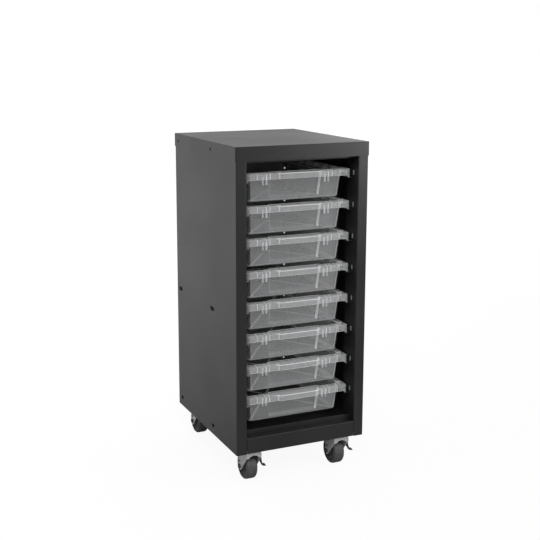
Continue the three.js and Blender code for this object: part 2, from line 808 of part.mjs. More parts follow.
const rightUpright = upright();
["middle", "rear"].forEach((name, i) => {
  add("left_" + name + "_upright", mirrored(rightUpright), powderCoat, [0, UPRIGHT_Y[i], 0]);
  add("right_" + name + "_upright", rightUpright, powderCoat, [0, UPRIGHT_Y[i], 0]);
});

const rightRunner = runner();
const moulding = tray();
trayLevels().forEach((top, i) => {
  add("left_runner_" + (i + 1), mirrored(rightRunner), powderCoat, [0, 0, top]);
  add("right_runner_" + (i + 1), rightRunner, powderCoat, [0, 0, top]);
  add("tray_" + (i + 1), moulding, clearPlastic, [0, PANEL_FRONT + TRAY_SETBACK, top]);
});

const corners = [
  { name: "front_left", x: -CASTER_X, y: -CASTER_Y, brake: true },
  { name: "front_right", x: CASTER_X, y: -CASTER_Y, brake: true },
  { name: "rear_left", x: -CASTER_X, y: CASTER_Y, brake: false },
  { name: "rear_right", x: CASTER_X, y: CASTER_Y, brake: false },
];
corners.forEach(({ name, x, y, brake }) => {
  add(name + "_caster_plate", casterPlate(), zincSteel, [x, y, 0]);
  add(name + "_fork", fork(), zincSteel, [x, y, 0]);
  add(name + "_axle", axle(), zincSteel, [x, y + CASTER_TRAIL, WHEEL_R]);
  add(name + "_tyre", tyre(), tyreRubber, [x, y + CASTER_TRAIL, WHEEL_R]);
  add(name + "_hub", hub(), hubPlastic, [x, y + CASTER_TRAIL, WHEEL_R]);
  if (brake) add(name + "_brake_pedal", brakePedal(), zincSteel, [x, y + PEDAL.pivotY, WHEEL_D - PEDAL.drop]);
});

export default unit;
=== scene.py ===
"""Looks of a classroom tray storage unit: a steel cabinet on casters with translucent trays."""

import logging
import math
from dataclasses import dataclass, replace
from enum import Enum, auto
from functools import cached_property
from typing import Any, Callable, Sequence

import bmesh
import bpy
from bpy.types import Material, Mesh, Node, NodeSocket, NodeTree
from mathutils import Euler, Matrix, Vector


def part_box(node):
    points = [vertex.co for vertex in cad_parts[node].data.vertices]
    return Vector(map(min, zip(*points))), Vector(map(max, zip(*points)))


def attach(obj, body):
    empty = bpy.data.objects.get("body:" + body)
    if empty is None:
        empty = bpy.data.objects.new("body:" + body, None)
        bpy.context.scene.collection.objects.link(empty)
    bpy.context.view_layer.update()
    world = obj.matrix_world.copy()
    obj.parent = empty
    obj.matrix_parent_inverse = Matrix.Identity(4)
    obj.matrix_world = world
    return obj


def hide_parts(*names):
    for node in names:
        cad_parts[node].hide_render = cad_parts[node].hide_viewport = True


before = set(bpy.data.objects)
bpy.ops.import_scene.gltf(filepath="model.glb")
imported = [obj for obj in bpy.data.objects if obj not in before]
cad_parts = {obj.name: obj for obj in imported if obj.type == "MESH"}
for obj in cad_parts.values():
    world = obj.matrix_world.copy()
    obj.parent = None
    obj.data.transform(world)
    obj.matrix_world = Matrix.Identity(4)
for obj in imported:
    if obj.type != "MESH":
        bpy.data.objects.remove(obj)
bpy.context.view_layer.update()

LOG = logging.getLogger("tray_unit")
MM = 0.001
WHITE = (1.0, 1.0, 1.0, 1.0)
SHARP_ANGLE, ROUND_ANGLE, FLAT_ANGLE = 34.0, 20.0, 0.4
SOLID_DOUBLES, DRAFT_DOUBLES = 1e-6, 1e-7
Colour = tuple[float, float, float]
Loop = list[tuple[float, float]]
Sockets = dict[str | int, Any]


class Corner(Enum):
    """The four casters, by the corner of the cabinet that each one carries."""

    FRONT_LEFT = "front_left"
    FRONT_RIGHT = "front_right"
    REAR_LEFT = "rear_left"
    REAR_RIGHT = "rear_right"

    @property
    def braked(self) -> bool:
        """Whether this caster has a brake pedal."""
        return self in (Corner.FRONT_LEFT, Corner.FRONT_RIGHT)


class Side(Enum):
    """The two sides of the cabinet, with the sign of their X."""

    LEFT = -1
    RIGHT = 1

    @property
    def label(self) -> str:
        """The word for this side in the names of solids."""
        return self.name.lower()

    def reach(self, node: str) -> float:
        """How far out a solid reaches on this side."""
        low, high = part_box(node)
        return high.x if self is Side.RIGHT else low.x


class Skin(Enum):
    """The plastics of a tray, with the material index of each."""

    WALL = 0
    EDGE = 1
    INSIDE = 2
    LINE = 3
    STEP = 4
    CORNER = 5
    PAD = 6
    CREASE = 7


class Zone(Enum):
    """The bands of a tray's surface, from the floor up the inside, over the rim and down."""

    FLOOR_EDGE = auto()
    INNER_WALL = auto()
    LIP = auto()
    RIM_TOP = auto()
    RIM_ROUND = auto()
    SKIRT = auto()
    HEM = auto()
    UNDER_RIM = auto()
    WALL = auto()
    LEDGE = auto()
    FOOT = auto()


class Steps:
    """How many steps the stretches of a tray's loop have."""

    CORNER = 8
    FLANK = 3
    RAMP = 8
    SPAN = 6


class Columns:
    """Columns of faces round a tray's loop, counted from its left front corner."""

    ALL = range(0, 82)
    FRONT = range(0, 45)
    CORNERS = (*range(0, 6), *range(39, 45))
    CREASES = (6, 7, 37, 38)
    RAMPS = (*range(11, 19), *range(25, 33))
    HANDLE = range(11, 33)
    HANDLE_ENDS = (14, 15, 28, 29)


# The plastics of each zone's columns. The first match counts, and what is left shows Skin.WALL.
SKINS = {
    Zone.FLOOR_EDGE: ((Columns.FRONT, Skin.INSIDE), (Columns.ALL, Skin.LINE)),
    Zone.INNER_WALL: ((Columns.ALL, Skin.INSIDE),),
    Zone.LIP: ((Columns.ALL, Skin.EDGE),),
    # Skin.CORNER is clearer plastic that paints shade on the rim's top along the sides and back
    # and on the tub's front corners.
    Zone.RIM_TOP: ((Columns.FRONT, Skin.LINE), (Columns.ALL, Skin.CORNER)),
    # Dense plastic along the handle's rounded top edge: a painted highlight.
    Zone.RIM_ROUND: ((Columns.HANDLE, Skin.EDGE),),
    Zone.SKIRT: ((Columns.HANDLE_ENDS, Skin.EDGE),),
    Zone.HEM: ((Columns.ALL, Skin.EDGE),),
    Zone.UNDER_RIM: ((Columns.ALL, Skin.INSIDE),),
    Zone.WALL: (
        (Columns.CORNERS, Skin.CORNER),
        (Columns.CREASES, Skin.CREASE),
        # The finger recess's ramps carry a painted highlight.
        (Columns.RAMPS, Skin.STEP),
    ),
    Zone.LEDGE: ((Columns.CORNERS, Skin.CORNER), (Columns.CREASES, Skin.CREASE)),
    Zone.FOOT: ((Columns.FRONT, Skin.PAD), (Columns.ALL, Skin.LINE)),
}


def at(x: float = 0.0, y: float = 0.0, z: float = 0.0) -> Vector:
    """A vector from its parts."""
    return Vector((x, y, z))


class Graph:
    """A node tree that is filled through one method."""

    def __init__(self, tree: NodeTree) -> None:
        """Keep the tree."""
        self.tree = tree

    def node(self, kind: str, sockets: Sockets | None = None, **settings: Any) -> Node:
        """Add a node.

        Args:
            kind: The node's type.
            sockets: Values or links for its inputs, by index, identifier or name.
            settings: Its own properties, set before its sockets. "stops" fills a ramp.

        Returns:
            The new node.
        """
        made = self.tree.nodes.new(kind)
        for name, value in settings.items():
            if name == "stops":
                self._set_stops(made.color_ramp, value)
            else:
                setattr(made, name, value)
        for key, value in (sockets or {}).items():
            self.feed(made, key, value)
        return made

    def feed(self, node: Node, key: str | int, value: Any) -> None:
        """Set or link one input.

        Args:
            node: The node that has the input.
            key: The input's index, identifier or name.
            value: A number, colour, vector, socket or Value, or a node for its first output.
        """
        known = {socket.identifier: socket for socket in node.inputs}
        socket = known[key] if key in known else node.inputs[key]
        if isinstance(value, Value):
            value = value.socket
        if isinstance(value, Node):
            value = value.outputs[0]
        if isinstance(value, NodeSocket):
            self.tree.links.new(value, socket)
        else:
            socket.default_value = value

    @staticmethod
    def _set_stops(ramp: bpy.types.ColorRamp, stops: Sequence[tuple[float, float]]) -> None:
        """Give a ramp its grey stops.

        Args:
            ramp: The ramp to fill.
            stops: Pairs of a position and a grey level.
        """
        while len(ramp.elements) < len(stops):
            ramp.elements.new(0.5)
        for element, (position, grey) in zip(ramp.elements, stops):
            element.position = position
            element.color = (grey, grey, grey, 1.0)


class Value:
    """A socket that Python's operators turn into Math nodes."""

    def __init__(self, graph: Graph, socket: Node | NodeSocket) -> None:
        """Keep the tree and the socket, or the node whose first output it is."""
        self.graph, self.socket = graph, socket

    def _math(self, operation: str, first: Any, second: Any) -> "Value":
        """Add one Math node."""
        sockets = {0: first, 1: second}
        return Value(self.graph, self.graph.node("ShaderNodeMath", sockets, operation=operation))

    def __add__(self, other: Any) -> "Value":
        """This plus other."""
        return self._math("ADD", self, other)

    def __radd__(self, other: Any) -> "Value":
        """Other plus this."""
        return self._math("ADD", other, self)

    def __sub__(self, other: Any) -> "Value":
        """This minus other."""
        return self._math("SUBTRACT", self, other)

    def __rsub__(self, other: Any) -> "Value":
        """Other minus this."""
        return self._math("SUBTRACT", other, self)

    def __mul__(self, other: Any) -> "Value":
        """This times other."""
        return self._math("MULTIPLY", self, other)

    def __rmul__(self, other: Any) -> "Value":
        """Other times this."""
        return self._math("MULTIPLY", other, self)

    def __truediv__(self, other: Any) -> "Value":
        """This divided by other."""
        return self._math("DIVIDE", self, other)

    def __rtruediv__(self, other: Any) -> "Value":
        """Other divided by this."""
        return self._math("DIVIDE", other, self)

    def __pow__(self, other: Any) -> "Value":
        """This to the power of other."""
        return self._math("POWER", self, other)

    def clamped(self) -> "Value":
        """This, held between 0 and 1."""
        return Value(self.graph, self.graph.node("ShaderNodeClamp", {"Value": self}))


class Paint(Graph):
    """The shader tree of one material, on Object coordinates."""

    def __init__(self, name: str) -> None:
        """Make an empty material.

        Args:
            name: The material's name.
        """
        self.material = bpy.data.materials.new(name)
        self.material.use_nodes = True
        super().__init__(self.material.node_tree)
        self.tree.nodes.clear()
        self.output = self.node("ShaderNodeOutputMaterial")
        self.place = self.node("ShaderNodeTexCoord").outputs["Object"]

    def noise(self, scale: float, detail: float, stretch: Colour = (1.0, 1.0, 1.0)) -> Value:
        """Add a noise pattern.

        Args:
            scale: Features per metre.
            detail: How many finer layers it has.
            stretch: Scale along each axis.

        Returns:
            The pattern, around 0.5.
        """
        mapping = self.node("ShaderNodeMapping", {"Vector": self.place, "Scale": stretch})
        sockets = {"Vector": mapping, "Scale": scale, "Detail": detail}
        made = self.node("ShaderNodeTexNoise", sockets)
        return Value(self, made.outputs["Fac"])

    def ramp(self, value: Value, low: float, high: float) -> Value:
        """Stretch the part of a value from low to high smoothly over 0 to 1."""
        kind, sockets = "ShaderNodeMapRange", {"Value": value, "From Min": low, "From Max": high}
        return Value(self, self.node(kind, sockets, interpolation_type="SMOOTHSTEP"))

    def mix(self, factor: Value, first: Colour, second: Colour) -> NodeSocket:
        """Mix two colours, with the factor as the share of the second."""
        sockets = {"Factor_Float": factor, "A_Color": (*first, 1.0), "B_Color": (*second, 1.0)}
        return self.node("ShaderNodeMix", sockets, data_type="RGBA").outputs[2]

    def bump(self, height: Value, depth: float) -> Node:
        """Bump the normal by a pattern from 0 to 1 that is some metres deep."""
        return self.node("ShaderNodeBump", {"Height": height, "Distance": depth})

    def finish(self, sockets: Sockets) -> Material:
        """Close the tree with the surface shader, for the finished material."""
        self.feed(self.output, "Surface", self.node("ShaderNodeBsdfPrincipled", sockets))
        return self.material


@dataclass(frozen=True)
class Coating:
    """An opaque finish with patches of another tone and gloss, and a fine grain."""

    name: str
    slot: str
    colour: Colour
    worn: Colour
    roughness: float
    patch: tuple[float, float]
    patch_rough: float
    patch_range: tuple[float, float] | None = None
    grain: tuple[float, float] | None = None
    grain_stretch: Colour = (1.0, 1.0, 1.0)
    grain_rough: float = 0.0
    grain_depth: float = 0.0
    metallic: float = 0.0
    specular: float = 0.5

    @cached_property
    def material(self) -> Material:
        """The finish, with patches in tone and gloss and grain in gloss and bump.

        Returns:
            The material, built on first use.
        """
        paint = Paint(self.name)
        patch = paint.noise(*self.patch)
        if self.patch_range:
            patch = paint.ramp(patch, *self.patch_range)
        sockets: Sockets = {
            "Base Color": paint.mix(patch, self.colour, self.worn),
            "Roughness": self.roughness + self.patch_rough * patch,
            "Metallic": self.metallic,
            "Specular IOR Level": self.specular,
        }
        if self.grain:
            grain = paint.noise(*self.grain, self.grain_stretch)
            sockets["Roughness"] += self.grain_rough * (grain - 0.5)
            sockets["Normal"] = paint.bump(grain, self.grain_depth)
        return paint.finish(sockets)


@dataclass(frozen=True)
class TrayPlastic:
    """Clear grey moulded plastic that is denser to the eye where it is seen edge on."""

    name: str = "tray_plastic"
    slot: str = "tray_plastic"
    colour: Colour = (0.74, 0.75, 0.76)
    hazy: Colour = (0.83, 0.84, 0.85)
    clearest: float = 0.2
    densest: float = 0.7
    roughness: float = 0.13
    haze: tuple[float, float] = (60.0, 2.0)
    haze_rough: float = 0.08
    flow: tuple[float, float] = (9.0, 1.0)
    flow_stretch: Colour = (1.0, 0.35, 2.2)
    flow_depth: float = 0.0002
    facing_blend: float = 0.35
    facing_power: float = 1.7
    ior: float = 1.5

    @cached_property
    def material(self) -> Material:
        """The finish: see-through walls, dense edges, faint flow marks from the mould.

        Returns:
            The material, built on first use.
        """
        paint = Paint(self.name)
        flow = paint.noise(*self.flow, self.flow_stretch)
        haze = paint.noise(*self.haze)
        weight = paint.node("ShaderNodeLayerWeight", {"Blend": self.facing_blend})
        dense = Value(paint, weight.outputs["Facing"]) ** self.facing_power
        return paint.finish(
            {
                "Base Color": paint.mix(haze, self.colour, self.hazy),
                "Roughness": self.roughness + self.haze_rough * haze,
                "Alpha": (self.clearest + (self.densest - self.clearest) * dense).clamped(),
                "Normal": paint.bump(flow, self.flow_depth),
                "IOR": self.ior,
            }
        )


Finish = Coating | TrayPlastic
POWDER_COAT = Coating(
    "powder_coat", "powder_coat", (0.0060, 0.0061, 0.0064), (0.0085, 0.0086, 0.0089),
    roughness=0.36, patch=(5.0, 3.0), patch_range=(0.35, 0.7), patch_rough=0.05,
    grain=(900.0, 1.0), grain_rough=0.08, grain_depth=0.00003,
)
BLACK_SCREW = Coating(
    "black_screw", "powder_coat", (0.004, 0.004, 0.004), (0.012, 0.012, 0.012),
    roughness=0.5, patch=(1500.0, 2.0), patch_range=(0.55, 0.8), patch_rough=0.15, specular=0.02,
)
ZINC_PLATE = Coating(
    "zinc_plate", "zinc_steel", (0.53, 0.534, 0.54), (0.43, 0.433, 0.438),
    roughness=0.27, patch=(90.0, 3.0), patch_rough=0.2, metallic=0.35,
    grain=(700.0, 2.0), grain_stretch=(1.0, 1.0, 0.12), grain_rough=0.06, grain_depth=0.00003,
)
RUNNER_CLIP = replace(
    ZINC_PLATE, name="runner_clip", colour=(0.30, 0.30, 0.305), worn=(0.20, 0.20, 0.205)
)
DARK_STEEL = replace(
    ZINC_PLATE, name="dark_steel", colour=(0.045, 0.045, 0.047), worn=(0.03, 0.03, 0.031)
)
TYRE_RUBBER = Coating(
    "tyre_rubber", "tyre_rubber", (0.045, 0.046, 0.048), (0.075, 0.075, 0.076),
    roughness=0.55, patch=(120.0, 4.0), patch_range=(0.45, 0.75), patch_rough=0.15,
    grain=(1600.0, 1.0), grain_depth=0.00005,
)
HUB_PLASTIC = Coating(
    "hub_plastic", "hub_plastic", (0.075, 0.076, 0.078), (0.12, 0.12, 0.122),
    roughness=0.42, patch=(150.0, 3.0), patch_range=(0.5, 0.8), patch_rough=0.12,
    grain=(1200.0, 1.0), grain_depth=0.00003,
)
TRAY_PLASTICS = {
    Skin.WALL: TrayPlastic(),
    Skin.EDGE: TrayPlastic("tray_edges", clearest=0.55, densest=0.9),
    # Nearly clear, so the tub's inside, the rim's underside and the floor read dark, as in the
    # cabinet's shade: painted shade.
    Skin.INSIDE: TrayPlastic("tray_inside", clearest=0.008, densest=0.05),
    Skin.LINE: TrayPlastic("tray_lines", clearest=0.18, densest=0.35),
    # Solid where the recess's ramps are seen head-on and clear where seen edge on, the reverse of
    # the other plastics, so the right ramp shows a bright line and the left hardly shows: a
    # painted highlight.
    Skin.STEP: TrayPlastic("tray_steps", clearest=0.95, densest=-0.8),
    # Clearer than the walls, so the tub's front corners and the rim's top along the sides and back
    # read darker: painted shade.
    Skin.CORNER: TrayPlastic("tray_corners", clearest=0.08, densest=0.25),
    Skin.PAD: TrayPlastic("tray_pads", clearest=0.32, densest=0.4),
    Skin.CREASE: TrayPlastic("tray_creases", clearest=0.2, densest=5.0),
}


@dataclass(frozen=True)
class Screw:
    """The place of a screw head and the way it faces."""

    centre: Vector
    facing: Vector


@dataclass(frozen=True)
class Block:
    """The place, size and turn of a moulded block."""

    centre: Vector
    size: Vector
    turn: Vector = at()


class GeometryTree(Graph):
    """A Geometry Nodes tree that sets copies of one shape on points."""

    def __init__(self, name: str, *sizes: str) -> None:
        """Make the tree and its named inputs.

        Args:
            name: The tree's name.
            sizes: The names of its sizes.
        """
        super().__init__(bpy.data.node_groups.new(name, "GeometryNodeTree"))
        face = self.tree.interface
        face.new_socket("Geometry", in_out="OUTPUT", socket_type="NodeSocketGeometry")
        face.new_socket("Points", in_out="INPUT", socket_type="NodeSocketGeometry")
        kinds = {**dict.fromkeys(sizes, "NodeSocketFloat"), "Material": "NodeSocketMaterial"}
        self.identifiers = [
            face.new_socket(label, in_out="INPUT", socket_type=kind).identifier
            for label, kind in kinds.items()
        ]
        self.given = self.node("NodeGroupInput").outputs
        self.result = self.node("NodeGroupOutput")

    def vector(self, x: Any = 0.0, y: Any = 0.0, z: Any = 0.0) -> Node:
        """A vector from numbers or values."""
        return self.node("ShaderNodeCombineXYZ", {0: x, 1: y, 2: z})

    def attribute(self, name: str) -> NodeSocket:
        """A vector that each point carries."""
        kind = "GeometryNodeInputNamedAttribute"
        return self.node(kind, {"Name": name}, data_type="FLOAT_VECTOR").outputs["Attribute"]

    def close(self, shape: Node, turn: Node, scale: Any) -> None:
        """Set the shape on every point and end the tree.

        Args:
            shape: The shape to repeat.
            turn: The rotation at each point.
            scale: The scale at each point.
        """
        sockets = {"Points": self.given["Points"], "Instance": shape}
        sockets.update({"Rotation": turn, "Scale": scale})
        copies = self.node("GeometryNodeInstanceOnPoints", sockets)
        real = self.node("GeometryNodeRealizeInstances", {0: copies})
        sockets = {"Geometry": real, "Material": self.given["Material"]}
        self.feed(self.result, 0, self.node("GeometryNodeSetMaterial", sockets))

    def bake(
        self,
        copies: Sequence[Screw | Block],
        finish: Finish,
        edge: float = 0.0,
        sizes: Sequence[float] = (1.0,),
    ) -> Mesh:
        """Set some copies.

        Args:
            copies: Their places, and the vectors that the tree reads there.
            finish: What they are made of.
            edge: How far their edges are rounded, in metres, or 0 to shade them smooth.
            sizes: The tree's sizes, in order.

        Returns:
            The copies as one plain mesh.
        """
        seeds = bpy.data.meshes.new("seeds")
        seeds.from_pydata([tuple(copy.centre) for copy in copies], [], [])
        _, *labels = vars(copies[0])
        for label in labels:
            layer = seeds.attributes.new(label, "FLOAT_VECTOR", "POINT")
            for item, copy in zip(layer.data, copies):
                item.vector = getattr(copy, label)
        inputs = dict(zip(self.identifiers, (*sizes, finish.material)))
        mesh = worked(seeds, edge, self.tree, inputs)
        if not edge:
            smooth(mesh)
        return mesh


class ScrewHeads(GeometryTree):
    """Domed screw heads with a hexagonal socket, each facing its own way."""

    sides, rings, corners = 20, 10, 6
    skirt_share, cutter_share = 0.2, 3.0

    def __init__(self) -> None:
        """Build the head from a flattened ball, cut flat underneath, and its socket."""
        super().__init__("screw_heads", "Head Diameter", "Head Height", "Socket Width")
        radius = Value(self, self.given["Head Diameter"]) * 0.5
        height = Value(self, self.given["Head Height"])
        socket = Value(self, self.given["Socket Width"]) * 0.5
        wide = radius * self.cutter_share
        sizes = {"Segments": self.sides, "Rings": self.rings, "Radius": radius}
        ball = self.node("GeometryNodeMeshUVSphere", sizes)
        dome = self._moved(ball, "Scale", self.vector(1.0, 1.0, height / radius))
        sizes = {"Vertices": self.corners, "Radius": socket, "Depth": height}
        hexagon = self.node("GeometryNodeMeshCylinder", sizes)
        raised = self._moved(hexagon, "Translation", self.vector(z=height))
        under = self.node("GeometryNodeMeshCube", {"Size": self.vector(wide, wide, wide)})
        drop = wide * -0.5 - height * self.skirt_share
        sunk = self._moved(under, "Translation", self.vector(z=drop))
        head = self._cut(self._cut(dome, sunk), raised)
        facing = {"Vector": self.attribute("facing")}
        turn = self.node("FunctionNodeAlignRotationToVector", facing, axis="Z")
        self.close(head, turn, (1.0, 1.0, 1.0))

    def _moved(self, shape: Node, how: str, vector: Node) -> Node:
        """A shape that is moved or scaled by a vector."""
        return self.node("GeometryNodeTransform", {0: shape, how: vector})

    def _cut(self, shape: Node, tool: Node) -> Node:
        """A shape without what lies in a tool."""
        sockets = {"Mesh 1": shape, "Mesh 2": tool}
        return self.node("GeometryNodeMeshBoolean", sockets, operation="DIFFERENCE")


class MouldedBlocks(GeometryTree):
    """Plain blocks, such as ribs, pads and gussets, each with its own size and turn."""

    def __init__(self) -> None:
        """Build the tree from a unit block."""
        super().__init__("moulded_blocks", "Swell")
        swell = Value(self, self.given["Swell"])
        block = self.node("GeometryNodeMeshCube", {"Size": self.vector(swell, swell, swell)})
        turn = self.node("FunctionNodeEulerToRotation", {0: self.attribute("turn")})
        self.close(block, turn, self.attribute("size"))


def worked(
    mesh: Mesh, edge: float, tree: NodeTree | None = None, inputs: dict[str, Any] | None = None
) -> Mesh:
    """Run modifiers on a mesh, and make the result a plain mesh.

    Args:
        mesh: The mesh, or the points for a tree.
        edge: The width of the rounding of its edges, in metres, or 0 for none.
        tree: The Geometry Nodes tree to run first, if there is one.
        inputs: The tree's inputs, by identifier.

    Returns:
        The plain mesh.
    """
    holder = bpy.data.objects.new("helper", mesh)
    bpy.context.scene.collection.objects.link(holder)
    if tree:
        modifier = holder.modifiers.new("Copies", "NODES")
        modifier.node_group = tree
        for identifier, value in inputs.items():
            modifier[identifier] = value
    if edge:
        bevel = holder.modifiers.new("Rounding", "BEVEL")
        bevel.width, bevel.segments = edge, 2
        bevel.limit_method, bevel.angle_limit = "ANGLE", math.radians(ROUND_ANGLE)
        holder.modifiers.new("Broad faces", "WEIGHTED_NORMAL").weight = 100
    graph = bpy.context.evaluated_depsgraph_get()
    plain = bpy.data.meshes.new_from_object(holder.evaluated_get(graph))
    holder.modifiers.clear()
    bpy.data.objects.remove(holder)
    return plain


def softened(node: str, edge: float) -> Mesh:
    """A copy of a solid's mesh with its doubles merged and its edges rounded.

    Args:
        node: The solid's name.
        edge: The width of the rounding, in metres.

    Returns:
        The mesh.
    """
    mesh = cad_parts[node].data.copy()
    work = bmesh.new()
    work.from_mesh(mesh)
    bmesh.ops.remove_doubles(work, verts=work.verts, dist=SOLID_DOUBLES)
    flat = math.radians(FLAT_ANGLE)
    bmesh.ops.dissolve_limit(work, angle_limit=flat, verts=work.verts, edges=work.edges)
    for part in (*work.edges, *work.faces):
        part.smooth = True
    work.to_mesh(mesh)
    work.free()
    return worked(mesh, edge)


def smooth(mesh: Mesh, angle: float = SHARP_ANGLE) -> None:
    """Shade a mesh smooth, apart from edges over an angle in degrees."""
    mesh.shade_smooth()
    mesh.set_sharp_from_angle(angle=math.radians(angle))


def joined(*meshes: Mesh) -> Mesh:
    """Put several meshes into one.

    Args:
        meshes: The meshes to put together.

    Returns:
        The new mesh.
    """
    work = bmesh.new()
    for mesh in meshes:
        work.from_mesh(mesh)
    whole = bpy.data.meshes.new("joined")
    work.to_mesh(whole)
    work.free()
    return whole


def show(mesh: Mesh, name: str, body: str, *finishes: Finish, node: str = "") -> None:
    """Put a piece in the scene.

    Args:
        mesh: The mesh, with its place in its vertices.
        name: The piece's name.
        body: The body that carries it.
        finishes: What it is painted with, by the faces' material index.
        node: The solid that it stands for, if there is one.
    """
    piece = bpy.data.objects.new(name, mesh)
    mesh.name = name
    indices = [polygon.material_index for polygon in mesh.polygons]
    mesh.materials.clear()
    for finish in finishes:
        mesh.materials.append(finish.material)
    for polygon, index in zip(mesh.polygons, indices):
        polygon.material_index = min(index, len(finishes) - 1)
    bpy.context.scene.collection.objects.link(piece)
    if node:
        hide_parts(node)
    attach(piece, body)
    LOG.info("%s on %s: %d faces", name, body, len(mesh.polygons))


class Draft:
    """Vertices and faces of a mesh that is being drawn, in metres."""

    def __init__(self) -> None:
        """Start empty."""
        self.points: list[Vector] = []
        self.faces: list[list[int]] = []
        self.tags: list[int] = []

    def loft(
        self,
        rings: Sequence[Sequence[Vector]],
        ends: bool = True,
        tag: Callable[[int, int], int] = lambda ring, column: 0,
        end_tag: int = 0,
    ) -> None:
        """Join rings of equal count by quads.

        Args:
            rings: The rings, in order.
            ends: Whether the first and the last ring are closed by a face.
            tag: Gives the material index of the quad after a ring in a column.
            end_tag: The material index of the faces that close the ends.
        """
        count = len(rings[0])
        start = len(self.points)
        for ring in rings:
            self.points.extend(ring)
        for r in range(len(rings) - 1):
            low = start + r * count
            for i in range(count):
                j = (i + 1) % count
                self.faces.append([low + i, low + j, low + count + j, low + count + i])
                self.tags.append(tag(r, i))
        if ends:
            for first in (start, start + (len(rings) - 1) * count):
                self.faces.append(list(range(first, first + count)))
                self.tags.append(end_tag)

    def turned(self, profile: Loop, centre: Vector, sides: int) -> None:
        """Turn a closed profile round an axle along X.

        Args:
            profile: Pairs of a place along X and a radius.
            centre: The middle of the axle.
            sides: How many steps the turn has.
        """
        angles = [2 * math.pi * i / sides for i in range(sides)]
        ways = [(math.cos(a), math.sin(a)) for a in angles]
        rings = [[centre + at(x, r * c, r * s) for c, s in ways] for x, r in profile]
        self.loft([*rings, rings[0]], ends=False)

    def mesh(self, angle: float = SHARP_ANGLE) -> Mesh:
        """Close the draft.

        Args:
            angle: Edges over this angle, in degrees, stay sharp.

        Returns:
            The mesh, with its doubles merged and its faces outwards.
        """
        mesh = bpy.data.meshes.new("draft")
        mesh.from_pydata([tuple(p) for p in self.points], [], self.faces)
        mesh.polygons.foreach_set("material_index", self.tags)
        work = bmesh.new()
        work.from_mesh(mesh)
        bmesh.ops.remove_doubles(work, verts=work.verts, dist=DRAFT_DOUBLES)
        bmesh.ops.recalc_face_normals(work, faces=work.faces)
        work.to_mesh(mesh)
        work.free()
        smooth(mesh, angle)
        return mesh


def quarter(steps: int) -> Loop:
    """The pairs of a sine and a cosine along a quarter turn."""
    angles = [0.5 * math.pi * i / steps for i in range(steps + 1)]
    return [(math.sin(a), math.cos(a)) for a in angles]


def blend(value: float, low: float, high: float) -> float:
    """A smooth step from 0 at low to 1 at high."""
    t = min(max((value - low) / (high - low), 0.0), 1.0)
    return t * t * (3.0 - 2.0 * t)


def arc(cx: float, cy: float, radius: float, start: float) -> Loop:
    """A loop's corner: a quarter turn round a centre, from an angle in degrees."""
    angles = [math.radians(start + 90.0 * i / Steps.CORNER) for i in range(Steps.CORNER + 1)]
    return [(cx + radius * math.cos(a), cy + radius * math.sin(a)) for a in angles]


def run(
    start: tuple[float, float], end: tuple[float, float], steps: int, curved: bool = False
) -> Loop:
    """A stretch of a loop, without its first point.

    Args:
        start: Where it starts.
        end: Where it ends.
        steps: How many steps it has.
        curved: Whether it swings over in an S, or else is straight.

    Returns:
        The points.
    """
    points = []
    for i in range(1, steps + 1):
        t = i / steps
        s = 0.5 - 0.5 * math.cos(math.pi * t) if curved else t
        points.append((start[0] + (end[0] - start[0]) * t, start[1] + (end[1] - start[1]) * s))
    return points


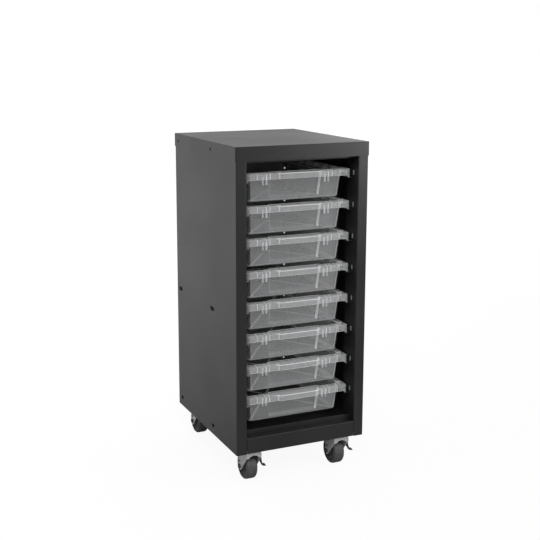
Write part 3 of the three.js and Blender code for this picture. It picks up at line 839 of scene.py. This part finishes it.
@dataclass(frozen=True)
class TrayMould:
    """The moulded tray. Its frame has the rim's front at y 0 and the rim's top at z 0."""

    width: float = 306 * MM
    depth: float = 415 * MM
    height: float = 78 * MM
    wall: float = 2 * MM
    rim_side: float = 15 * MM
    rim_front: float = 22 * MM
    rim_rear: float = 16 * MM
    rim_corner: float = 12 * MM
    rim_round: float = 3.2 * MM
    lip: float = 2.4 * MM
    hem_round: float = 0.5 * MM
    front_skirt: float = 17 * MM
    rear_skirt: float = 13 * MM
    hook: float = 23 * MM
    hook_from: float = 144 * MM
    hook_ease: float = 1 * MM
    handle_half: float = 66 * MM
    handle_ramp: float = 12 * MM
    handle_bulge: float = 9 * MM
    handle_lift: float = 1.5 * MM
    finger_half: float = 74 * MM
    finger_draft: float = 6 * MM
    finger_ramp: float = 2 * MM
    finger_depth: float = 8 * MM
    ledge_top: float = 15 * MM
    ledge_foot: float = 8 * MM
    tub_corner: float = 9 * MM
    least_corner: float = 1 * MM
    fillet: float = 6 * MM
    draft_side: float = 6.5 * MM
    draft_front: float = 10 * MM
    draft_rear: float = 4 * MM
    rib_x: tuple[float, ...] = (84.7 * MM, 95.5 * MM, 120.9 * MM)
    skirt_rib: Vector = at(1.6, 1.9, 14.8) * MM
    skirt_rib_at: Vector = at(0.0, 0.05, -9.4) * MM
    top_rib: Vector = at(1.6, 18.0, 0.8) * MM
    top_rib_at: Vector = at(0.0, 10.5, -0.3) * MM
    pads: tuple[tuple[float, float], ...] = ((85.2 * MM, 5.208 * MM), (95.5 * MM, 3.844 * MM))
    pad_t: float = 5 * MM
    pad_h: float = 22 * MM
    pad_at: Vector = at(0.0, 22.5, -23.0) * MM
    gussets: int = 8
    gusset: Vector = at(15.7, 1.6, 13.0) * MM
    gusset_first: Vector = at(144.35, 40.0, -7.5) * MM
    bead_w: float = 6 * MM
    bead_h: float = 0.8 * MM
    bead_rise: float = 0.24 * MM
    block_edge: float = 0.35 * MM
    sharp_angle: float = 40.0
    round_steps: int = 5
    lip_steps: int = 4
    # Steps of the rim's rounded edge that carry the painted highlight along the handle.
    painted_highlight_steps: tuple[int, ...] = (2, 3)

    def _loop(
        self, half: float, front: float, rear: float, corner: float, bay: tuple[float, ...]
    ) -> Loop:
        """A rounded rectangle whose front steps out or in across a bay in its middle.

        Args:
            half: Half its width.
            front: Where its front lies.
            rear: Where its rear lies.
            corner: The radius of its corners.
            bay: Half the bay's width where it begins and where it is deepest, and its step.

        Returns:
            The loop, from its left front corner, the same number of points whatever the sizes.
        """
        corner = max(corner, self.least_corner)
        begin, end, step = bay
        inner, deep = half - corner, front + step
        low, high = front + corner, rear - corner
        return [
            *arc(-inner, low, corner, 180.0),
            *run((-inner, front), (-begin, front), Steps.FLANK),
            *run((-begin, front), (-end, deep), Steps.RAMP, curved=True),
            *run((-end, deep), (end, deep), Steps.SPAN),
            *run((end, deep), (begin, front), Steps.RAMP, curved=True),
            *run((begin, front), (inner, front), Steps.FLANK),
            *arc(inner, low, corner, 270.0),
            *run((half, low), (half, high), Steps.SPAN),
            *arc(inner, high, corner, 0.0),
            *run((inner, rear), (-inner, rear), Steps.SPAN),
            *arc(-inner, high, corner, 90.0),
            *run((-half, high), (-half, low), Steps.SPAN),
        ]

    def _rim(self, inset: float) -> Loop:
        """The rim's outline.

        Args:
            inset: How far it is drawn in.

        Returns:
            The loop.
        """
        begin, corner = self.handle_half - inset, self.rim_corner - inset
        bay = (begin, begin - self.handle_ramp, -self.handle_bulge)
        return self._loop(self.width / 2 - inset, inset, self.depth - inset, corner, bay)

    def _tub(self, below: float, inset: float) -> list[Vector]:
        """A ring of the tub.

        Args:
            below: How far it lies below the rim.
            inset: How far it is drawn in.

        Returns:
            The ring.
        """
        share = below / self.height
        finger = self.finger_half - self.finger_draft * share + inset
        step = self.finger_depth * blend(self.height - below, self.ledge_foot, self.ledge_top)
        loop = self._loop(
            self.width / 2 - self.rim_side - self.draft_side * share - inset,
            self.rim_front + self.draft_front * share + inset,
            self.depth - self.rim_rear - self.draft_rear * share - inset,
            self.tub_corner - inset,
            (finger + self.finger_ramp, finger, step),
        )
        return [at(x, y, -below) for x, y in loop]

    def _rim_ring(self, inset: float, below: float) -> list[Vector]:
        """A level ring of the rim."""
        return [at(x, y, -below) for x, y in self._rim(inset)]

    def _hem(self, inset: float, lift: float) -> list[Vector]:
        """A ring along the lower edge of the rim's skirt, which is deeper along the sides.

        Args:
            inset: How far it is drawn in.
            lift: How far it lies above the edge.

        Returns:
            The ring.
        """
        ring = []
        ease = self.hook_ease
        for (x, y), (ox, oy) in zip(self._rim(inset), self._rim(0.0)):
            aside = blend(abs(ox), self.hook_from - ease, self.hook_from + ease)
            middle = self.rear_skirt
            if oy < self.depth / 2:
                beside = blend(abs(ox), self.handle_half - self.handle_ramp, self.handle_half)
                middle = self.front_skirt - self.handle_lift * (1 - beside)
            ring.append(at(x, y, lift - middle - (self.hook - middle) * aside))
        return ring

    def _rings(self) -> list[tuple[Zone, list[Vector]]]:
        """All rings, from the tub's floor up its inside, over the rim and down its outside.

        Returns:
            Each ring, with the zone of the faces that follow it.
        """
        wall, lip, nib, bend = self.wall, self.lip, self.hem_round, self.rim_round
        inner, floor, turn = self.fillet - wall, self.height - wall, quarter(self.round_steps)
        high, low = self.height - self.ledge_top, self.height - self.ledge_foot
        ledge = [high, (2 * high + low) / 3, (high + 2 * low) / 3, low]
        foot = [self._tub(floor - inner * (1 - c), wall + inner * (1 - s)) for s, c in turn]
        rings = [(Zone.FLOOR_EDGE, ring) for ring in foot[:-1]] + [(Zone.INNER_WALL, foot[-1])]
        rings += [(Zone.INNER_WALL, self._tub(below, wall)) for below in reversed(ledge)]
        edge = [self._tub(lip * (1 - s), wall - lip * (1 - c)) for s, c in quarter(self.lip_steps)]
        rings += [(Zone.LIP, ring) for ring in edge[:-1]] + [(Zone.RIM_TOP, edge[-1])]
        # Two steps of the rim's rounded edge get their own zone, where dense plastic along the
        # handle is a painted highlight.
        for i, (s, c) in enumerate(turn):
            zone = Zone.RIM_ROUND if i in self.painted_highlight_steps else Zone.SKIRT
            rings.append((zone, self._rim_ring(bend * (1 - s), bend * (1 - c))))
        rings += [
            (Zone.HEM, self._hem(0.0, nib)),
            (Zone.HEM, self._hem(nib, 0.0)),
            (Zone.HEM, self._hem(wall - nib, 0.0)),
            (Zone.UNDER_RIM, self._hem(wall, nib)),
            (Zone.UNDER_RIM, self._rim_ring(wall, 2 * wall)),
            (Zone.UNDER_RIM, self._rim_ring(2 * wall, wall)),
            (Zone.UNDER_RIM, self._tub(wall, -wall)),
            (Zone.WALL, self._tub(2 * wall, 0.0)),
        ]
        rings += [(Zone.WALL, self._tub(below, 0.0)) for below in ledge[:2]]
        rings += [(Zone.LEDGE, self._tub(below, 0.0)) for below in ledge[2:]]
        for s, c in turn:
            ring = self._tub(self.height - self.fillet * (1 - s), self.fillet * (1 - c))
            rings.append((Zone.FOOT, ring))
        return rings

    @staticmethod
    def _skin(zone: Zone, column: int) -> int:
        """The material index of a face, by its zone and its column."""
        skins = (skin for columns, skin in SKINS[zone] if column in columns)
        return next(skins, Skin.WALL).value

    def _beads(self) -> list[Block]:
        """The two low beads across the tub's floor, from corner to corner.

        Returns:
            The beads.
        """
        half = self.width / 2 - self.rim_side - self.draft_side - self.fillet
        front = self.rim_front + self.draft_front + self.fillet
        rear = self.depth - self.rim_rear - self.draft_rear - self.fillet
        along = (rear - front) / 2
        centre = at(0.0, (front + rear) / 2, self.wall + self.bead_rise - self.height)
        size = at(self.bead_w, 2 * math.hypot(half, along) - self.bead_w, self.bead_h)
        angle = math.atan2(half, along)
        return [Block(centre, size, at(z=turn)) for turn in (-angle, angle)]

    def _ribs(self) -> list[Block]:
        """The ribs that run over the rim's front edge and down its skirt.

        Returns:
            The ribs.
        """
        parts = ((self.skirt_rib_at, self.skirt_rib), (self.top_rib_at, self.top_rib))
        spots = [at(side * x) for side in (-1, 1) for x in self.rib_x]
        return [Block(spot + place, size) for spot in spots for place, size in parts]

    def _stiffeners(self) -> list[Block]:
        """The pads under the rim's front and the gussets under the side rims.

        Returns:
            The pads and gussets.
        """
        blocks = []
        first = self.gusset_first
        pitch = (self.depth - 2 * first.y) / (self.gussets - 1)
        for side in (-1, 1):
            for x, wide in self.pads:
                size = at(wide, self.pad_t, self.pad_h)
                blocks.append(Block(self.pad_at + at(side * x), size))
            for i in range(self.gussets):
                centre = at(side * first.x, first.y + i * pitch, first.z)
                blocks.append(Block(centre, self.gusset))
        return blocks

    def build(self, place: Vector, tree: MouldedBlocks, finishes: Sequence[TrayPlastic]) -> Mesh:
        """Mould one tray.

        Args:
            place: Where the tray's frame lies in the unit.
            tree: The tree that sets the blocks.
            finishes: The plastics, by material index.

        Returns:
            The tray as one mesh.
        """
        shell, rings = Draft(), self._rings()
        shell.loft(
            [points for _, points in rings],
            tag=lambda ring, column: self._skin(rings[ring][0], column),
            end_tag=Skin.INSIDE.value,
        )
        parts = [shell.mesh(self.sharp_angle)]
        details = {Skin.EDGE: self._ribs(), Skin.PAD: self._stiffeners() + self._beads()}
        for skin, blocks in details.items():
            part = tree.bake(blocks, finishes[skin.value], self.block_edge)
            for polygon in part.polygons:
                polygon.material_index = skin.value
            parts.append(part)
        whole = joined(*parts)
        whole.transform(Matrix.Translation(place))
        return whole


@dataclass
class TrayStack:
    """The trays in the cabinet."""

    finishes: dict[Skin, TrayPlastic]
    mould: TrayMould
    blocks: MouldedBlocks
    count: int = 8

    def build(self) -> None:
        """Mould the trays and hang them in place."""
        finishes = [self.finishes[skin] for skin in Skin]
        for i in range(1, self.count + 1):
            node = f"tray_{i}"
            low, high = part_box(node)
            place = at(0.0, low.y + self.mould.handle_bulge, high.z)
            mesh = self.mould.build(place, self.blocks, finishes)
            show(mesh, node + "_moulding", node, *finishes, node=node)


@dataclass
class Cabinet:
    """The folded steel cabinet with its frame, runners and screws."""

    coat: Coating
    black: Coating
    zinc: Coating
    screws: ScrewHeads
    blocks: MouldedBlocks
    body: str = "cabinet"
    edge: float = 0.45 * MM
    block_edge: float = 0.5 * MM
    trays: int = 8
    screw: tuple[float, ...] = (8.8 * MM, 1.0 * MM, 3.96 * MM)
    screw_sink: float = 1.5 * MM
    clip: Vector = at(3.0, 2.2, 12.0) * MM
    clip_inset: float = 3.1 * MM
    clip_out: float = 0.44 * MM
    clip_drop: float = 6.5 * MM
    cap_screw_z: float = 893 * MM
    foot_screw_z: float = 121 * MM
    link_z: float = 458 * MM
    # Black plates of painted shade, for the dark inside the link slots and the foot screws'
    # recesses.
    slot_shade_size: tuple[float, float] = (26 * MM, 11.6 * MM)
    recess_shade_size: tuple[float, float] = (15 * MM, 9.5 * MM)
    shade_plate_t: float = 0.3 * MM
    shade_plate_sides: int = 32
    seam: float = 2 * MM
    seam_trim: float = 1 * MM
    seam_inset: float = 0.6 * MM

    def _sheets(self) -> list[str]:
        """The pieces folded from sheet.

        Returns:
            Their solids' names.
        """
        names = ["top_cap", "left_side_panel", "right_side_panel", "back_panel", "front_rail"]
        names += ["floor_pan", "head_channel", "front_caster_channel", "rear_caster_channel"]
        for side in ("left", "right"):
            names += [f"{side}_middle_upright", f"{side}_rear_upright"]
            names += [f"{side}_runner_{i}" for i in range(1, self.trays + 1)]
        return names

    @staticmethod
    def _uprights() -> list[tuple[Side, float, float]]:
        """The uprights that the sides are screwed to.

        Returns:
            Each one's side, its middle along Y and the X of the side panel's face.
        """
        places = []
        for side in Side:
            for upright in ("middle", "rear"):
                low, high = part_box(f"{side.label}_{upright}_upright")
                places.append((side, (low.y + high.y) / 2, side.reach(side.label + "_side_panel")))
        return places

    def _side_screws(self) -> list[Screw]:
        """The screws of the cap and of the side panels.

        Returns:
            The screws.
        """
        screws = []
        for side, y, wall in self._uprights():
            skirt, way = side.reach("top_cap"), at(side.value)
            screws.append(Screw(at(skirt, y, self.cap_screw_z) - way * self.screw_sink, way))
            screws.append(Screw(at(wall, y, self.foot_screw_z) + way * self.shade_plate_t, way))
        return screws

    def _shade_plates(self) -> Mesh:
        """Black plates on the link slots and under the foot screws: painted shade for the dark
        inside the slots and the screw recesses.

        Returns:
            The mesh of thin plates with round ends.
        """
        draft = Draft()
        kinds = ((self.link_z, self.slot_shade_size), (self.foot_screw_z, self.recess_shade_size))
        angles = [2 * math.pi * (i + 0.5) / self.shade_plate_sides for i in range(self.shade_plate_sides)]
        for side, middle, wall in self._uprights():
            lift = at(side.value * self.shade_plate_t)
            for z, (length, height) in kinds:
                radius, reach = height / 2, (length - height) / 2
                ring = []
                for a in angles:
                    y = middle + math.copysign(reach, math.cos(a)) + radius * math.cos(a)
                    ring.append(at(wall, y, z + radius * math.sin(a)))
                draft.loft([ring, [point + lift for point in ring]])
        return draft.mesh()

    def _seam(self) -> Block:
        """The bead that closes the seam between the floor pan and the back panel.

        Returns:
            The bead.
        """
        low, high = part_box("back_panel")
        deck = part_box("floor_pan")[1].y
        size = at(high.x - low.x - self.seam_trim, self.seam, self.seam)
        return Block(at(0.0, deck - self.seam_inset, low.z + self.seam_inset), size)

    def _clips(self) -> list[Block]:
        """The bright end clips at the front of the runners.

        Returns:
            The clips.
        """
        blocks = []
        for side in Side:
            for i in range(1, self.trays + 1):
                node = f"{side.label}_runner_{i}"
                low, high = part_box(node)
                x = side.reach(node) - side.value * self.clip_inset
                centre = at(x, low.y - self.clip_out, high.z - self.clip_drop)
                blocks.append(Block(centre, self.clip))
        return blocks

    def build(self) -> None:
        """Dress the sheets and add the screws, the black plates of painted shade, the seam and the
        clips.
        """
        for node in self._sheets():
            show(softened(node, self.edge), node + "_sheet", self.body, self.coat, node=node)
        heads = self.screws.bake(self._side_screws(), self.black, sizes=self.screw)
        show(heads, "side_screws", self.body, self.black)
        # Black plates on the slots and under the foot screws: painted shade.
        show(self._shade_plates(), "side_plugs", self.body, self.black)
        seam = self.blocks.bake([self._seam()], self.coat, self.block_edge)
        show(seam, "rear_seam", self.body, self.coat)
        clips = self.blocks.bake(self._clips(), self.zinc, self.block_edge)
        show(clips, "runner_clips", self.body, self.zinc)


@dataclass
class CasterSet:
    """The four swivel casters."""

    zinc: Coating
    dark_steel: Coating
    rubber: Coating
    plastic: Coating
    screws: ScrewHeads
    blocks: MouldedBlocks
    wheel_r: float = 37.5 * MM
    wheel_half: float = 16 * MM
    wheel_sides: int = 72
    shoulder: float = 7 * MM
    tread_inner: float = 26.8 * MM
    tread_wall: float = 4 * MM
    dish: float = 3 * MM
    shoulder_steps: int = 7
    tyre_angle: float = 40.0
    hub_profile_mm: tuple[tuple[float, float], ...] = (
        (17.0, 4.6), (17.0, 8.5), (16.0, 9.5), (5.5, 10.1), (4.5, 11.3),
        (4.5, 21.5), (5.7, 23.1), (13.0, 24.5), (13.0, 26.5),
    )
    hub_sides: int = 64
    ribs: int = 6
    rib: Vector = at(20.0, 14.0, 2.2) * MM
    rib_r: float = 16.5 * MM
    rib_edge: float = 0.5 * MM
    bolt_r: float = 4 * MM
    bolt_core: float = 0.2 * MM
    bolt_sides: int = 32
    hexagon_sides: int = 6
    bolt_head_r: float = 6.5 * MM
    bolt_head_t: float = 4 * MM
    bolt_angle: float = 25.0
    hexagon_r: float = 6.24 * MM
    crown_r: float = 5.46 * MM
    crown_t: float = 0.7 * MM
    washer_t: float = 1 * MM
    fork_half: float = 22.9 * MM
    fork_edge: float = 0.7 * MM
    rivet: tuple[float, ...] = (7 * MM, 1.2 * MM, 2.4 * MM)
    rivet_rise: float = 15 * MM
    plate_edge: float = 0.5 * MM
    plate_bolt: tuple[float, ...] = (11 * MM, 2.6 * MM, 5 * MM)
    plate_bolt_at: tuple[float, float, float] = (22 * MM, 25 * MM, 2.5 * MM)
    pedal_edge: float = 0.4 * MM
    tread: Vector = at(7, 11, 4.5) * MM
    tread_edge: float = 1 * MM
    tread_inset: Vector = at(-1, 1, 0.5) * MM

    def _tyre(self, centre: Vector) -> Mesh:
        """The tread: a ring with round shoulders and a shallow groove at each side of the hub.

        Args:
            centre: The middle of the wheel.

        Returns:
            The mesh.
        """
        half, s = self.wheel_half, self.shoulder
        low = self.wheel_r - s
        side = [(half - self.dish, self.tread_inner), (half, low - self.tread_wall)]
        side += [(half - s * (1 - c), low + s * sine) for sine, c in quarter(self.shoulder_steps)]
        draft = Draft()
        profile = [*((-x, r) for x, r in side), *reversed(side)]
        draft.turned(profile, centre, self.wheel_sides)
        return draft.mesh(self.tyre_angle)

    def _hub(self, centre: Vector) -> Mesh:
        """The hub: a dished web with ribs between its boss and its rim.

        Args:
            centre: The middle of the wheel.

        Returns:
            The mesh.
        """
        half = [(x * MM, r * MM) for x, r in self.hub_profile_mm]
        draft = Draft()
        draft.turned([*half, *((-x, r) for x, r in reversed(half))], centre, self.hub_sides)
        ribs = []
        for i in range(self.ribs):
            angle = 2 * math.pi * (i + 0.5) / self.ribs
            arm = at(0.0, self.rib_r * math.cos(angle), self.rib_r * math.sin(angle))
            ribs.append(Block(centre + arm, self.rib, at(angle)))
        return joined(draft.mesh(), self.blocks.bake(ribs, self.plastic, self.rib_edge))

    def _axle(self, centre: Vector) -> Mesh:
        """The axle bolt with its hexagon head, nut and washers.

        Args:
            centre: The middle of the axle.

        Returns:
            The mesh.
        """
        draft = Draft()
        seat, core, wide = self.fork_half, self.bolt_core, self.bolt_head_r
        shank = [(-seat, core), (-seat, self.bolt_r), (seat, self.bolt_r), (seat, core)]
        draft.turned(shank, centre, self.bolt_sides)
        for side in (-1, 1):
            near, far = side * (seat + self.washer_t), side * (seat + self.bolt_head_t)
            seats = (side * seat, near)
            washer = [(seats[0], self.bolt_r), *((x, wide) for x in seats), (near, self.bolt_r)]
            draft.turned(washer, centre, self.bolt_sides)
            shoulder = far - side * self.crown_t
            head = [(near, core), *((x, self.hexagon_r) for x in (near, shoulder))]
            head += [(far, self.crown_r), (far, core)]
            draft.turned(head, centre, self.hexagon_sides)
        return draft.mesh(self.bolt_angle)

    def _plate_bolts(self) -> Mesh:
        """The bolt heads under the caster plates.

        Returns:
            The mesh.
        """
        bolts = []
        dx, dy, drop = self.plate_bolt_at
        for corner in Corner:
            low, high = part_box(corner.value + "_caster_plate")
            middle = at((low.x + high.x) / 2, (low.y + high.y) / 2, high.z - drop)
            for x in (-dx, dx):
                bolts += [Screw(middle + at(x, y), at(z=-1.0)) for y in (-dy, dy)]
        return self.screws.bake(bolts, self.zinc, sizes=self.plate_bolt)

    def _pedal(self, node: str) -> Mesh:
        """A brake pedal with a thick tread on its foot tab.

        Args:
            node: The solid's name.

        Returns:
            The mesh.
        """
        low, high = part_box(node)
        half = self.tread / 2
        place = at(high.x - half.x, low.y + half.y, low.z + half.z) + self.tread_inset
        tread = self.blocks.bake([Block(place, self.tread)], self.dark_steel, self.tread_edge)
        return joined(softened(node, self.pedal_edge), tread)

    def _fork_rivets(self, axle: Vector) -> Mesh:
        """The rivets above the axle in a fork's two legs.

        Args:
            axle: The middle of the axle.

        Returns:
            The mesh.
        """
        foot = axle + at(z=self.rivet_rise)
        rivets = [Screw(foot + way * self.fork_half, way) for way in (at(-1.0), at(1.0))]
        return self.screws.bake(rivets, self.dark_steel, sizes=self.rivet)

    def build(self) -> None:
        """Build and dress the casters."""
        for corner in Corner:
            name = corner.value
            low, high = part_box(name + "_tyre")
            centre = (low + high) / 2
            parts = [
                ("tyre", self._tyre(centre), self.rubber, "wheel"),
                ("hub", self._hub(centre), self.plastic, "wheel"),
                # The axle's dark steel also stands in for the shade in the gap round it: partly
                # its own colour, partly painted shade.
                ("axle", self._axle(centre), self.dark_steel, "caster"),
                ("fork", softened(name + "_fork", self.fork_edge), self.zinc, "caster"),
            ]
            if corner.braked:
                pedal = self._pedal(name + "_brake_pedal")
                parts.append(("brake_pedal", pedal, self.dark_steel, "brake"))
            for part, mesh, finish, body in parts:
                node = f"{name}_{part}"
                show(mesh, node + "_look", f"{name}_{body}", finish, node=node)
            rivets = self._fork_rivets(centre)
            show(rivets, name + "_rivets", name + "_caster", self.dark_steel)
            plate = name + "_caster_plate"
            mesh = softened(plate, self.plate_edge)
            show(mesh, name + "_plate_look", "cabinet", self.zinc, node=plate)
        show(self._plate_bolts(), "plate_bolts", "cabinet", self.zinc)


@dataclass(frozen=True)
class SoftBox:
    """A soft lamp of the studio."""

    name: str
    place: Vector
    target: Vector
    size: tuple[float, float]
    watts: float

    def hang(self) -> None:
        """Hang the lamp and point it at its target."""
        data = bpy.data.lights.new(self.name, "AREA")
        data.shape = "RECTANGLE"
        data.size, data.size_y = self.size
        data.energy = self.watts
        lamp = bpy.data.objects.new(self.name, data)
        lamp.location = self.place
        lamp.rotation_euler = (self.target - self.place).to_track_quat("-Z", "Y").to_euler()
        bpy.context.scene.collection.objects.link(lamp)


@dataclass
class Studio:
    """The floor, the light and the camera."""

    focal_px: float = 1008.161
    image_px: float = 540.0
    sensor: float = 36.0
    clip: tuple[float, float] = (0.05, 100.0)
    azimuth: float = 23.867
    elevation: float = 11.223
    stand: Vector = at(-1.158671, -2.549614, 1.161681)
    centre_px: tuple[float, float] = (256.4, 245.7)
    floor_half: float = 90.0
    # The floor's colour, seen only in reflections and bounced light, is painted shade: darkest
    # near the unit and in front of it, palest far behind, so the cabinet's sides reflect less low
    # down.
    floor_painted_shade: Colour = (0.28, 0.28, 0.28)
    floor_far: Colour = (0.98, 0.98, 0.98)
    floor_slope: tuple[float, float] = (0.4, 0.9)
    floor_range: tuple[float, float] = (-1.5, 4.0)
    floor_glow: float = 1.08
    floor_shown: float = 0.86
    room: tuple[tuple[float, float], ...] = ((0.0, 0.35), (0.5, 0.62), (1.0, 1.0))
    lamps: tuple[SoftBox, ...] = (
        SoftBox("key", at(-1.4, -3.0, 3.0), at(z=0.5), (1.6, 1.6), 84.0),
        SoftBox("front", at(1.2, -1.48, 0.98), at(z=0.8), (0.45, 0.45), 9.5),
        SoftBox("rear", at(2.6, 3.0, 1.9), at(z=0.5), (1.6, 1.4), 2.5),
    )

    def camera(self) -> None:
        """Place the camera where the photograph was taken from."""
        data = bpy.data.cameras.new("camera")
        data.sensor_width = self.sensor
        data.lens = self.focal_px / self.image_px * self.sensor
        data.shift_x = (self.image_px / 2 - self.centre_px[0]) / self.image_px
        data.shift_y = (self.centre_px[1] - self.image_px / 2) / self.image_px
        data.clip_start, data.clip_end = self.clip
        camera = bpy.data.objects.new("camera", data)
        camera.location = self.stand
        tilt = math.radians(90.0 - self.elevation)
        camera.rotation_euler = Euler((tilt, 0.0, math.radians(-self.azimuth)))
        bpy.context.scene.collection.objects.link(camera)
        bpy.context.scene.camera = camera

    @staticmethod
    def _seen(graph: Graph) -> Value:
        """Whether the camera sees a place, directly or through glass.

        Args:
            graph: The tree that asks.

        Returns:
            1 where it does, and 0 elsewhere.
        """
        rays = graph.node("ShaderNodeLightPath").outputs
        seen = Value(graph, rays["Is Camera Ray"]) + Value(graph, rays["Is Transmission Ray"])
        return seen.clamped()

    def floor(self) -> None:
        """Lay a floor that shows white, keeps a soft shadow and carries painted shade: its colour
        is darkest near and in front of the unit and palest behind it.
        """
        h = self.floor_half
        mesh = bpy.data.meshes.new("floor")
        mesh.from_pydata([(-h, -h, 0), (h, -h, 0), (h, h, 0), (-h, h, 0)], [], [(0, 1, 2, 3)])
        floor = bpy.data.objects.new("floor", mesh)
        bpy.context.scene.collection.objects.link(floor)
        paint = Paint("studio_floor")
        place = paint.node("ShaderNodeSeparateXYZ", {0: paint.place}).outputs
        aside, back = self.floor_slope
        # Painted shade: the floor's colour darkens towards the unit and its front.
        behind = Value(paint, place["Y"]) * back - Value(paint, place["X"]) * aside
        pale = paint.ramp(behind, *self.floor_range)
        tone = paint.mix(pale, self.floor_painted_shade, self.floor_far)
        matt = paint.node("ShaderNodeBsdfDiffuse", {"Color": tone})
        glow = {"Color": WHITE, "Strength": self.floor_glow}
        white = paint.node("ShaderNodeEmission", glow)
        share = self._seen(paint) * self.floor_shown
        both = paint.node("ShaderNodeMixShader", {0: share, 1: matt, 2: white})
        paint.feed(paint.output, "Surface", both)
        mesh.materials.append(paint.material)

    def world(self) -> None:
        """Surround the unit with a pale room that is brighter above than below."""
        world = bpy.data.worlds.new("studio")
        world.use_nodes = True
        bpy.context.scene.world = world
        graph = Graph(world.node_tree)
        graph.tree.nodes.clear()
        way = graph.node("ShaderNodeTexCoord").outputs["Generated"]
        height = Value(graph, graph.node("ShaderNodeSeparateXYZ", {0: way}).outputs["Z"])
        shade = graph.node("ShaderNodeValToRGB", {0: height * 0.5 + 0.5}, stops=self.room)
        soft = graph.node("ShaderNodeBackground", {"Color": shade})
        white = graph.node("ShaderNodeBackground", {"Color": WHITE})
        both = graph.node("ShaderNodeMixShader", {0: self._seen(graph), 1: soft, 2: white})
        graph.node("ShaderNodeOutputWorld", {0: both})

    def build(self) -> None:
        """Set up the studio."""
        bpy.context.scene.view_settings.view_transform = "Standard"
        self.camera()
        self.floor()
        self.world()
        for lamp in self.lamps:
            lamp.hang()
        LOG.info("studio is ready")


def main() -> None:
    """Build the unit's looks in order."""
    logging.basicConfig(level=logging.INFO, format="%(message)s")
    Studio().build()
    screws, blocks = ScrewHeads(), MouldedBlocks()
    Cabinet(POWDER_COAT, BLACK_SCREW, RUNNER_CLIP, screws, blocks).build()
    TrayStack(TRAY_PLASTICS, TrayMould(), blocks).build()
    CasterSet(ZINC_PLATE, DARK_STEEL, TYRE_RUBBER, HUB_PLASTIC, screws, blocks).build()


if __name__ == "__main__":
    main()
